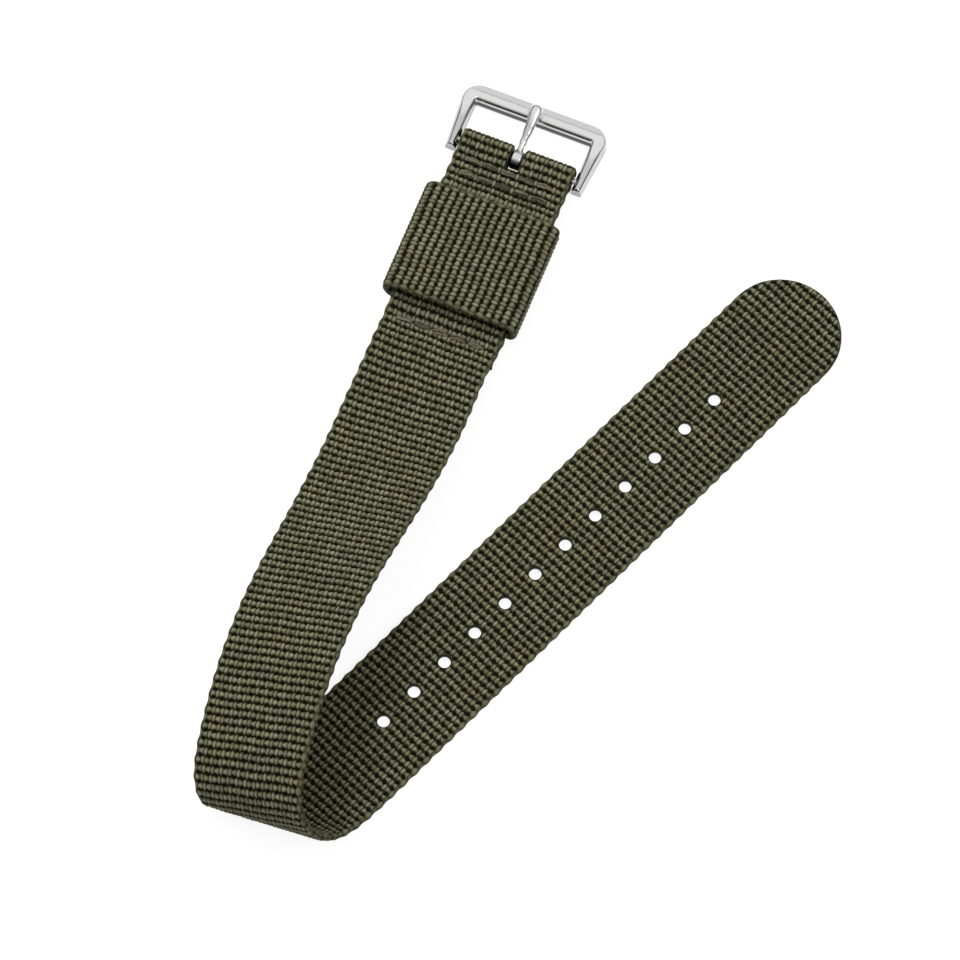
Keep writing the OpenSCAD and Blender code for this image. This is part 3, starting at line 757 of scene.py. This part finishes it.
def band_face(side):
    """Heights of one face of the band, its relief and its tones.

    The relief is pressed flat at melted rims, and the rims are rounded by a quarter circle. The weave of the
    outer face is one rib on from that of the wrist side."""
    high, bead_tone = woven(band_x + (0 if side > 0 else rib_pitch), band_y, 0 if side > 0 else 1)
    rim = np.clip(cut, 0, rim_r)
    rim_drop = rim_r - np.sqrt(np.clip(rim_r**2 - (rim_r - rim) ** 2, 0, None))
    pressed = mix(high, melted_high, melt_and_shade_rim)
    return over_middle(side, to_edge, pressed, rim_drop), np.clip(pressed, 0, 1), bead_tone


top, top_high, top_tone = band_face(1)
low, low_high, low_tone = band_face(-1)
print("relief from", round(float(top.min()), 2), "to", round(float(top.max()), 2), "mm")

# %% Loops along the edges
loop_out, loop_in, loop_from, loop_fade = 0.09, 0.05, 8.2, 0.6
swell_out, swell_from, swell_rise, swell_to, swell_fall = 0.30, 10, 15, 34, 12


def edge_share(y):
    """1 at the woven edges and 0 from loop_from inwards."""
    return ease((abs(y) - loop_from) / loop_fade)


loops = loop_out * np.cos(2 * np.pi * (loop_number(band_x, band_y) - 0.5)) * ease((band_x - half_w) / 2)
swell = swell_out * ease((band_x - tip_at - swell_from) / swell_rise)
swell = swell * ease((leg_len - swell_to - band_x) / swell_fall)
band_y = band_y * (1 + swell / half_w) + np.sign(band_y) * (loops - loop_in) * edge_share(band_y)
print("the leg is up to", round(2 * float(band_y.max()), 2), "mm wide")

# %% Pieces of the band
# Each cut is the number of a ring that two pieces share, and none goes through a hole.
tip_cut, after_holes, leg_stop, before_slot, after_slot = 132, 60, 260, 60, 30
holes_end = first_ring + pitch_rings * (hole_count - 1) + after_holes
cuts = [0, tip_cut, *(first_ring + pitch_rings * k + pitch_rings // 2 for k in (3, 8)), holes_end]
cuts += [int(v) for v in np.linspace(holes_end, slot_rings[0] - leg_stop, 5)[1:]]
cuts += [slot_rings[0] - before_slot, slot_rings[1] + after_slot, len(rings) - 1]
band_values = {"height": (top_high, low_high), "tone": (top_tone, low_tone), "melt": (melt_and_shade_rim, melt_and_shade_rim)}
for number, (i0, i1) in enumerate(zip(cuts[:-1], cuts[1:]), 1):
    part = np.s_[i0:i1 + 1]
    values = {key: [v[part] for v in pair] for key, pair in band_values.items()}
    inside = [(a - i0, b - i0, c, d) for a, b, c, d in windows if a > i0 and b < i1]
    grids = (v[part] for v in (band_x, band_y, top, low))
    mesh = sheet(f"band_{number}", *grids, band_point, values, inside)
    piece(mesh, webbing, "strap", "band")

# %% [markdown]
# ## The keeper
# A short piece of the same webbing, bent to a loop round the band and joined end to end
# underneath. Its own length runs across the strap, so its ribs run along the strap. The
# loop is a profile of lines and arcs, carried along the strap for the keeper's width.

# %% Profile of the keeper
low_run = parted_low + web_t + 0.15
low_bend, keeper_round, crown = half_t + 0.5, 1.5, 0.35
side_x, top_mid = half_w + low_bend, parted_high + web_t + 1.45
shoulder, bend_x = top_mid - crown, side_x - keeper_round
butt_gap_half, loop_steps, mean_of = 0.05, 1200, 9


def profile():
    """Middle line of the loop's right half: from the butt joint round the side to the middle of the top."""
    a = np.radians(np.arange(-90, 1, 6))
    b = np.radians(np.arange(0, 91, 6))
    f = np.arange(1, 41) / 40
    return np.concatenate([
        [[butt_gap_half, low_run]],
        np.stack([half_w + low_bend * np.cos(a), low_run + low_bend + low_bend * np.sin(a)], 1),
        np.stack([bend_x + keeper_round * np.cos(b), shoulder - keeper_round + keeper_round * np.sin(b)], 1),
        np.stack([bend_x * (1 - f), shoulder + crown * np.sin(f * np.pi / 2)], 1)])


def softened(values):
    """A running mean, which eases the change from line to arc, with the ends kept."""
    kept = mean_of // 2
    mean = np.convolve(values, np.ones(mean_of) / mean_of, "valid")
    return np.concatenate([values[:kept], mean, values[-kept:]])


half_line = profile()
line = np.concatenate([half_line, (half_line[:-1] * [-1, 1])[::-1]])
line_at = np.concatenate([[0], np.cumsum(np.linalg.norm(np.diff(line, axis=0), axis=1))])
loop_len = line_at[-1]
loop_at = np.linspace(0, loop_len, loop_steps)
loop_x, loop_z = (softened(np.interp(loop_at, line_at, line[:, k])) for k in (0, 1))
slope_x, slope_z = np.gradient(loop_x, loop_at), np.gradient(loop_z, loop_at)
slope = np.hypot(slope_x, slope_z)
loop_lines = (loop_x, loop_z, slope_z / slope, -slope_x / slope)
print("keeper cut length", round(loop_len, 1), "mm")


def keeper_point(x, y, h):
    """Point x along the loop, y along the strap from the keeper's middle and h outward."""
    middle_x, middle_z, out_x, out_z = (np.interp(x, loop_at, values) for values in loop_lines)
    strap_y = bar_centre[1] - keeper_place - half_w + y
    return np.stack([bar_centre[0] + middle_x + out_x * h, strap_y, middle_z + out_z * h], -1)


# %% The keeper's webbing
keeper_rings, keeper_bold, keeper_shift, keeper_loop_out = 320, 1.5, 400, 0.06
keeper_x = np.repeat(np.linspace(0, loop_len, keeper_rings)[:, None], len(columns), 1)
keeper_y = np.repeat(columns[None], keeper_rings, 0)


def keeper_face(side):
    """As band_face, but with no openings and with a weave that starts at another place."""
    high, bead_tone = woven(keeper_x + (0 if side > 0 else rib_pitch) + keeper_shift, keeper_y, keeper_bold)
    return over_middle(side, half_w - abs(keeper_y), high), high, bead_tone


k_top, k_high, k_tone = keeper_face(1)
k_low, k_low_high, k_low_tone = keeper_face(-1)
unmelted = np.zeros_like(keeper_x)
k_values = {"height": (k_high, k_low_high), "tone": (k_tone, k_low_tone), "melt": (unmelted, unmelted)}
loops = np.sign(keeper_y) * keeper_loop_out * np.cos(2 * np.pi * keeper_x / loop_pitch)
looped = keeper_y + loops * edge_share(keeper_y)
mesh = sheet("keeper_loop", keeper_x, looped, k_top, k_low, keeper_point, k_values)
piece(mesh, webbing, "keeper", "keeper")

# %% [markdown]
# ## Thread
# Each stitch is a flat bundle of loose filaments that rises from one needle hole, lies
# on the webbing and goes down at the next. A filament is a thin tube along a low arch,
# and a bundle of them side by side, slightly twisted and uneven, reads as thick thread.

# %% Thread material
thread, shader, node, join = material("olive_thread")
strand_tone = node("Attribute", attribute_name="tone")
shades = node("ValToRGB")
set_ramp(shades, [(0.0, (0.026, 0.020, 0.012)), (0.5, (0.135, 0.117, 0.072)), (1.0, (0.290, 0.270, 0.185))])
join(strand_tone.outputs["Fac"], shades.inputs["Fac"])
spot = node("TexCoord")
fuzz = node("TexNoise", {"Scale": 9000})
join(spot.outputs["Object"], fuzz.inputs["Vector"])
worn = node("Mix", {"Factor": 0.4}, data_type="RGBA", blend_type="MULTIPLY")
join(shades.outputs["Color"], worn.inputs["A"])
join(fuzz.outputs["Color"], worn.inputs["B"])
join(worn.outputs["Result"], shader.inputs["Base Color"])
put(shader, {"Roughness": 0.5, "Specular IOR Level": 0.2})
noise_bump(node, join, fuzz, shader, 0.3, 0.00002)
print(thread.name, len(thread.node_tree.nodes), "nodes")


# %% Tubes along paths
def tubes(paths, radius, sides):
    """Thin tubes along many paths at once, open at their ends. paths is an array by tube, step and axis.

    Each step has a ring in the plane across its path. Returns points, quads and each point's tube number."""
    count, steps, _ = paths.shape
    along = unit(np.gradient(paths, axis=1))
    side = unit(np.cross(along, np.broadcast_to([0.02, 0.03, 1.0], along.shape)))
    over = np.cross(side, along)
    a = (np.arange(sides) * 2 * np.pi / sides)[:, None]
    ring = paths[:, :, None] + radius * (side[:, :, None] * np.cos(a) + over[:, :, None] * np.sin(a))
    index = wrapped(np.arange(count * steps * sides).reshape(count, steps, sides), 2)
    quads = np.stack([index[:, :-1, :-1], index[:, :-1, 1:], index[:, 1:, 1:], index[:, 1:, :-1]], -1)
    return ring.reshape(-1, 3), quads.reshape(-1, 4), np.repeat(np.arange(count), steps * sides)


def sewn(name, paths, radius, sides, body, node):
    """A piece of thread from its strands' paths, laid out from the bar's foot, each with its own tone."""
    points, quads, strand = tubes(np.array(paths), radius, sides)
    mesh = mesh_of(name, points + bar_foot, quads, tone=chance(strand, 3 * strand + 1))
    piece(mesh, thread, body, node)


# %% Stitches
stitch_len, stitch_count, stitch_gap, stitch_steps = 2.85, 5, 0.12, 15
strands, strand_r, bundle_half, narrowest, buried, flush = 7, 0.075, 0.34, 0.35, 0.5, 0.02
lie, domed, wave, stray_wide, stray_high, arch_power = 0.17, 0.15, 0.07, 0.05, 0.07, 0.35


def seam(name, rows, node):
    """Rows of stitches on both outer faces. rows are distances behind the bar.

    f is a strand's place across its bundle from -1 to 1. The bundle is domed, narrows where the arch goes
    down, and its strands wave and stray a little. Under the strap it lies flush with the webbing."""
    t = np.linspace(0, 1, stitch_steps)
    arch = np.clip(np.sin(np.pi * t), 0, 1) ** arch_power
    paths = []
    for r, d in enumerate(rows):
        faces = ((1, float(upper_z(np.float64(d))) + half_t), (-1, float(tail_z(np.float64(d))) - half_t))
        for (side, base), k, n in product(faces, range(stitch_count), range(strands)):
            f = (n + 0.5) / strands * 2 - 1
            jitter = chance(n, k, r + 5 * side + d)
            x = (k - stitch_count / 2) * stitch_len + stitch_gap + t * (stitch_len - 2 * stitch_gap)
            off = (f * bundle_half + stray_wide * (jitter - 0.5)) * mix(narrowest, 1, arch)
            off = off + wave * np.sin(2 * np.pi * (t + jitter))
            rise = lie + domed * math.sqrt(max(0, 1 - f * f)) + stray_high * (jitter - 0.5)
            rise = rise * arch - buried * (1 - arch)
            rise = np.minimum(rise, flush) if side < 0 else rise
            paths.append(np.stack([x, -d + off, base + side * rise], 1))
    sewn(name, paths, strand_r, 6, "strap", node)


seam("fold_stitches", (first_seam, second_seam), "fold_seam")
seam("tail_stitches", (third_seam,), "tail_seam")

# %% [markdown]
# ## Zigzag under the keeper
# The keeper's two ends meet under the band, and a zigzag of the same thread holds them
# on both faces. Its strands are twisted round the zigzag's line.

# %% Keeper's zigzag
zig_pitch, zig_half, zig_margin, zig_steps = 1.5, 1.5, 2, 8
zig_strand_r, twist_wide, twist_high, twist, zig_sink = 0.055, 0.12, 0.07, 1.3, 0.14
zig_count = int((web_w - zig_margin) / zig_pitch)
corner = np.arange(zig_count + 1)
zig_from = -(keeper_place + (web_w - zig_count * zig_pitch) / 2)
t = np.linspace(0, zig_count, zig_count * zig_steps + 1)
zig_x = np.interp(t, corner, zig_half * (-1.0) ** corner)
zig_y = np.interp(t, corner, zig_from - zig_pitch * corner)
paths = []
for z, n in product((low_run + half_t - zig_sink, low_run - half_t + zig_sink), range(strands)):
    a = n * 2 * np.pi / strands + t * twist
    aside_of_line = twist_wide * np.cos(a)
    paths.append(np.stack([zig_x + aside_of_line, zig_y + aside_of_line, z + twist_high * np.sin(a)], 1))
sewn("keeper_zigzag", paths, zig_strand_r, 5, "keeper", "keeper_seam")

# %% [markdown]
# ## Steel
# The buckle is stainless steel. The frame's flat facets are brushed along the crossbar
# and the rest of it is polished, and the tongue is lightly brushed. An attribute of the
# mesh says how much of each, and a second one paints light and shade into the colour:
# painted shade on the frame's walls and feet and on the tongue's eye in the fold, and a
# painted highlight on the frame's bevel and along its crease. The spring bar's own parts
# are polished all over.

# %% Steel materials
steel_dark, steel_pale, brushed_tone = (0.52, 0.52, 0.53), (0.68, 0.68, 0.68), (0.84, 0.84, 0.84, 1)


def steel(name, roughness, grain, stretch, ground_faces=False):
    """Stainless steel: metallic, with stretched noise as fine scratches in colour, roughness and bump.

    With ground_faces the mesh's own attributes change roughness and colour: one says how much is brushed, and
    the other paints light and shade into the colour."""
    made, shader, node, join = material(name)
    put(shader, {"Metallic": 1})
    spot = node("TexCoord")
    stretched = node("Mapping", {"Scale": stretch})
    scratch = node("TexNoise", {"Scale": grain, "Detail": 4})
    join(spot.outputs["Object"], stretched.inputs["Vector"])
    join(stretched.outputs[0], scratch.inputs["Vector"])
    colour = node("ValToRGB")
    set_ramp(colour, [(0.0, steel_dark), (1.0, steel_pale)])
    join(scratch.outputs["Fac"], colour.inputs["Fac"])
    rough = node("MapRange", {"To Min": roughness * 0.8, "To Max": roughness * 1.25})
    join(scratch.outputs["Fac"], rough.inputs["Value"])
    noise_bump(node, join, scratch, shader, 0.05, 0.00002)
    if not ground_faces:
        join(colour.outputs["Color"], shader.inputs["Base Color"])
        join(rough.outputs["Result"], shader.inputs["Roughness"])
        return made
    brushed, shade = (node("Attribute", attribute_name=key) for key in ("brushed", "shade"))
    duller = node("Math", {1: 0.24}, operation="MULTIPLY_ADD")
    join(brushed.outputs["Fac"], duller.inputs[0])
    join(rough.outputs["Result"], duller.inputs[2])
    join(duller.outputs[0], shader.inputs["Roughness"])
    paler = node("Mix", {"B": brushed_tone}, data_type="RGBA")
    join(brushed.outputs["Fac"], paler.inputs["Factor"])
    join(colour.outputs["Color"], paler.inputs["A"])
    shaded = node("Mix", {"Factor": 1}, data_type="RGBA", blend_type="MULTIPLY")
    join(paler.outputs["Result"], shaded.inputs["A"])
    join(shade.outputs["Fac"], shaded.inputs["B"])
    join(shaded.outputs["Result"], shader.inputs["Base Color"])
    return made


ground = steel("ground_steel", 0.13, 900, (0.06, 2, 2), True)
polished = steel("polished_steel", 0.12, 600, (1, 1, 1))
bar_parts = ("bar_tube", "bar_tip_left", "bar_tip_right", "bar_spring")
for name in bar_parts:
    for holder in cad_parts[name].material_slots:
        holder.material = polished
print("polished:", ", ".join(bar_parts))

# %% [markdown]
# ## The buckle's frame
# The frame is forged as a U and then ground. Grinding leaves a flat strip along the
# crossbar, a wide bevel outside it that runs out at the corners, and a satin field on
# each leg that ends in a curve where the leg's round back drops away from the flat. So
# the top is the lowest of a few simple surfaces, a little softened where two of them
# meet. Lines across the frame walk round the U, and the section is drawn on each line.
# The tips of the spring bar go into the legs' inner sides.

# %% Lines across the frame
inner_half, outer_half = half_w + 0.25, half_w + 2.55
foot_w, foot_y, reach, frame_len = 1.65, -1.6, 6.8, 9.7
corner_r, inner_r, half_high, crease = 3.0, 0.3, 1.2, 8.1
leg_lines, corner_angles, bar_lines = 110, 80, 116


def lines_across():
    """Inner and outer end of each line: along the right leg, round the corner, then to the crossbar's middle.

    At the corner the lines are a fan from the inner corner's centre. Each goes out to the corner's circle, or
    to the leg's straight side where that comes first."""
    y = np.linspace(foot_y, reach - inner_r, leg_lines)
    leg_x = np.interp(y, [foot_y, y[-1]], [inner_half + foot_w, outer_half])
    leg = np.stack([np.full_like(y, inner_half), y, leg_x, y], 1)
    a = np.radians(np.linspace(0, 90, corner_angles)[1:-1])
    way = np.stack([np.cos(a), np.sin(a)], 1)
    centre = np.array([inner_half - inner_r, reach - inner_r])
    off = centre - [outer_half - corner_r, frame_len - corner_r]
    far = -(way @ off) + np.sqrt((way @ off) ** 2 - off @ off + corner_r**2)
    on_side = centre[1] + far * way[:, 1] < frame_len - corner_r
    far = np.where(on_side, (outer_half - centre[0]) / way[:, 0], far)
    fan = np.concatenate([centre + inner_r * way, centre + far[:, None] * way], 1)
    x = np.linspace(centre[0], 0, bar_lines)
    outer_y = frame_len - corner_r + np.sqrt(corner_r**2 - np.maximum(x - outer_half + corner_r, 0) ** 2)
    bar = np.stack([x, np.full_like(x, reach), x, outer_y], 1)
    half = np.concatenate([leg, fan, bar])
    return np.concatenate([half, (half[:-1] * [-1, 1, -1, 1])[::-1]])


ends = lines_across()
print(len(ends), "lines across the frame")

# %% Surfaces of the frame
soft, top_points, wall_points = 0.03, 29, 24
back_low, back_high, back_tilt, back_level, back_tilt_to = -0.2, 1.3, 0.12, 2.8, 6.5
outer_slope, inner_slope, inner_bevel_w, no_bevel = 0.56, 0.7, 0.4, 99
foot_high, foot_slope, low_round = 0.15, 1.8, 0.3


def lowest(*surfaces):
    """Soft minimum: minus soft times the logarithm of the sum of the exponentials of minus each over soft."""
    return -soft * np.log(sum(np.exp(-s / soft) for s in surfaces))


e = (1 - np.cos(np.pi * np.arange(top_points) / (top_points - 1))) / 2
top_x, top_y = (ends[:, [k]] * (1 - e) + ends[:, [k + 2]] * e for k in (0, 1))
from_middle = 2 * np.broadcast_to(e, top_x.shape) - 1
tilted = back_tilt * (np.minimum(top_y, back_tilt_to) - back_level)
round_back = back_low + tilted + back_high * np.sqrt(1 - from_middle**2)
strip = np.full_like(top_x, half_high)
outer_bevel = half_high - outer_slope * (top_y - crease)
bar_y = np.where(abs(top_x) < inner_half - 0.2, top_y, no_bevel)
inner_bevel = half_high - inner_slope * (reach + inner_bevel_w - bar_y)
facets = lowest(strip, outer_bevel, inner_bevel)
foot = foot_high + foot_slope * (top_y - foot_y)
top_z = lowest(round_back, facets, foot)
low_z = -half_high + low_round * (1 - (1 - abs(from_middle) ** 4) ** 0.25)
print("frame from", round(float(low_z.min()), 2), "to", round(float(top_z.max()), 2), "mm over the bar")

# %% Walls of the frame
down = np.arange(1, wall_points + 1) / (wall_points + 1)


def wall(j):
    """Points down the wall at the lines' end j: x, y and z between the top and the low face."""
    x, y = (np.repeat(v[:, [j]], wall_points, 1) for v in (top_x, top_y))
    return x, y, mix(top_z[:, [j]], low_z[:, [j]], down)


low_face, inner_wall = ([v[:, ::-1] for v in face] for face in ((top_x, top_y, low_z), wall(0)))
top_face = (top_x, top_y, top_z)
ring = np.stack([np.concatenate(v, 1) for v in zip(top_face, wall(-1), low_face, inner_wall)], -1)
n, m = ring.shape[:2]
print("each section has", m, "points")

# %% Finish of the frame
# The shade values paint light and shade into the colour: the flat strip a little darker, the bevel lighter
# with a painted highlight along its crease, the outer walls darker, and the crossbar's inner wall dark as
# painted shade, lighter at its top edge.
strip_shade, bevel_shade, outside_shade, inside_shade = 0.93, 1.10, 0.45, 0.08
glint_shade, glint_w = 0.25, 0.08
low_from = top_points + wall_points
inner_from = low_from + top_points
brushed = np.zeros((n, m))
brushed[:, :top_points] = 1 / (1 + np.exp(-(np.minimum(round_back, foot) - facets) / soft))
shade = np.ones((n, m))
glint = glint_shade * np.exp(-((top_y - crease) / glint_w) ** 2)
shade[:, :top_points] = mix(strip_shade, bevel_shade, ease((top_y - crease) / 0.1 + 0.5)) + glint
shade[:, top_points:low_from] = outside_shade
shade[:, inner_from:] = inside_shade + 0.5 * (1 - down) ** 6
print("brushed share of the frame", round(float(brushed.mean()), 2))


# %% The frame's mesh
def volume_of(points, quads):
    """Volume inside closed quads, by the triple products of their triangles, below 0 if inside out."""
    p = points[quads]
    sixfold = (np.cross(p[:, 0], p[:, 1]) * p[:, 2]).sum() + (np.cross(p[:, 0], p[:, 2]) * p[:, 3]).sum()
    return sixfold / 6


def outward(points, quads):
    """The quads, all turned round if the volume they enclose comes out negative."""
    return quads if volume_of(points, quads) > 0 else quads[:, ::-1]


# The feet's end caps are painted darker as shade.
frame_turn, cap_shade = math.radians(-5.28047), 0.6
index = np.arange(n * m).reshape(n, m)
points, quads, count = [ring.reshape(-1, 3)], [grid_faces(wrapped(index, 1))], n * m
for i, flip in ((0, 1), (n - 1, -1)):
    top_line = ring[i, 1:top_points - 1, None]
    low_line = ring[i, low_from:inner_from][::-1][1:-1, None]
    inside = mix(top_line, low_line, down[:, None]).reshape(-1, 3)
    cap = np.empty((top_points, wall_points + 2), int)
    cap[:, 0], cap[:, -1] = index[i, :top_points], index[i, low_from:inner_from][::-1]
    cap[-1, 1:-1], cap[0, 1:-1] = index[i, top_points:low_from], index[i, inner_from:][::-1]
    cap[1:-1, 1:-1] = count + np.arange(len(inside)).reshape(top_points - 2, wall_points)
    points.append(inside)
    quads.append(grid_faces(cap)[:, ::flip])
    count += len(inside)
points, quads = np.concatenate(points), np.concatenate(quads)
quads = outward(points, quads)
print("steel in the frame", round(volume_of(points, quads), 1), "cubic mm")
c, s = math.cos(frame_turn), math.sin(frame_turn)
points = points @ np.array([[1, 0, 0], [0, c, s], [0, -s, c]]) + bar_centre
on_caps = np.full(count - n * m, cap_shade)
mesh = mesh_of("frame_steel", points, quads, brushed=np.concatenate([brushed.ravel(), on_caps * 0]),
               shade=np.concatenate([shade.ravel(), on_caps]))
piece(mesh, ground, "buckle", "buckle_frame")

# %% [markdown]
# ## The buckle's tongue
# The tongue is turned from round rod: a neck at the eye, a small bead, a slightly
# flattened shank and a rounded bulb that rests on the crossbar. The eye is a separate
# ring round the spring bar, and its colour is painted dark as shade where it lies in the
# fold; the shank's colour is painted a little darker too. Both are lathe shapes: a
# profile carried round an axis.

# %% Rod of the tongue
rod_high, rod_rise, nose_len, rod_sides = 0.845, math.radians(6.515), 0.95, 48
shank_flat, shank_from, shank_fade, bulb_from, bulb_fade = 0.80, 3.3, 0.8, 5.6, 1.6
knots = np.array([[1.05, 0.48], [1.5, 0.46], [2.0, 0.47], [2.35, 0.60], [2.6, 0.64],
                  [2.85, 0.60], [3.15, 0.52], [3.7, 0.62], [4.4, 0.72], [5.4, 0.70],
                  [6.1, 0.82], [6.8, 0.98], [7.4, 1.06], [7.9, 1.07]])
along = np.linspace(knots[0, 0], knots[-1, 0], 96)
halves = np.interp(along, knots[:, 0], knots[:, 1])
halves = np.convolve(np.pad(halves, 3, mode="edge"), np.ones(7) / 7, "valid")
nose = np.linspace(0, math.pi / 2 - 0.01, 26)[1:]
along = np.concatenate([along, knots[-1, 0] + nose_len * np.sin(nose)])
halves = np.concatenate([halves, halves[-1] * np.cos(nose)])
flatter = mix(shank_flat, 1, ease((along - bulb_from) / bulb_fade))
flatter = mix(1, flatter, ease((along - shank_from) / shank_fade))
a = np.arange(rod_sides) * 2 * np.pi / rod_sides
rod_x, rod_n = halves[:, None] * np.cos(a), (halves * flatter)[:, None] * np.sin(a)
c, s = math.cos(rod_rise), math.sin(rod_rise)
rod = np.stack([rod_x, along[:, None] * c - rod_n * s, rod_high + along[:, None] * s + rod_n * c], -1)
print("tongue up to", round(2 * float(halves.max()), 2), "mm wide")


def disc(ring):
    """Quads straight across a ring of points, from one side to the other."""
    pair = np.arange(len(ring) // 2 - 1)
    return np.stack([ring[pair], ring[pair + 1], ring[len(ring) - 2 - pair], ring[len(ring) - 1 - pair]], 1)


index = np.arange(rod.size // 3).reshape(rod.shape[:2])
rod_quads = np.concatenate([grid_faces(wrapped(index, 1)), disc(index[0]), disc(index[-1])[:, ::-1]])

# %% Eye of the tongue
eye_r, eye_half, eye_round, bore_play, eye_steps = 1.51, 0.8, 0.3, 0.02, 96
k = np.radians(np.arange(0, 91, 15))
quarter_x, quarter_r = eye_half - eye_round + eye_round * np.cos(k), eye_r - eye_round + eye_round * np.sin(k)
quarter = np.stack([quarter_x, quarter_r], 1)
bore = [[-eye_half, fold_r + 0.1], [-eye_half + 0.1, fold_r + bore_play],
        [eye_half - 0.1, fold_r + bore_play], [eye_half, fold_r + 0.1]]
section = np.concatenate([quarter, (quarter * [-1, 1])[::-1], bore])
turn = np.arange(eye_steps) * 2 * np.pi / eye_steps
eye_ring = np.stack([np.broadcast_to(section[:, 0], (eye_steps, len(section))),
                     np.cos(turn)[:, None] * section[:, 1], np.sin(turn)[:, None] * section[:, 1]], -1)
index = np.arange(eye_ring.size // 3).reshape(eye_ring.shape[:2]) + rod.size // 3
eye_quads = grid_faces(wrapped(wrapped(index, 1), 0))
print("eye of", eye_steps, "sections with", len(section), "points")

# %% The tongue's mesh
tongue_brushed, shank_shade, fold_shade = 0.55, 0.72, 0.10
points = np.concatenate([rod.reshape(-1, 3), eye_ring.reshape(-1, 3)])
quads = np.concatenate([outward(points, rod_quads), outward(points, eye_quads)])
# Painted shade: the shank's colour is darker, and the eye's is near black on its back, in the fold.
rod_shade = mix(1, shank_shade, ease((along - 2.9) / 0.5) * ease((6.6 - along) / 1.2))
eye_shade = mix(fold_shade, 1, ease((np.cos(turn) + 0.55 * np.sin(turn) + 0.15) / 0.5))
shade = np.concatenate([np.repeat(rod_shade, rod_sides), np.repeat(eye_shade, len(section))])
brushed = np.full(len(points), tongue_brushed)
mesh = mesh_of("tongue_steel", points + bar_centre, quads, brushed=brushed, shade=shade)
piece(mesh, ground, "tongue", "buckle_tongue")

# %% [markdown]
# ## The end

# %% Update of the view layer
bpy.context.view_layer.update()
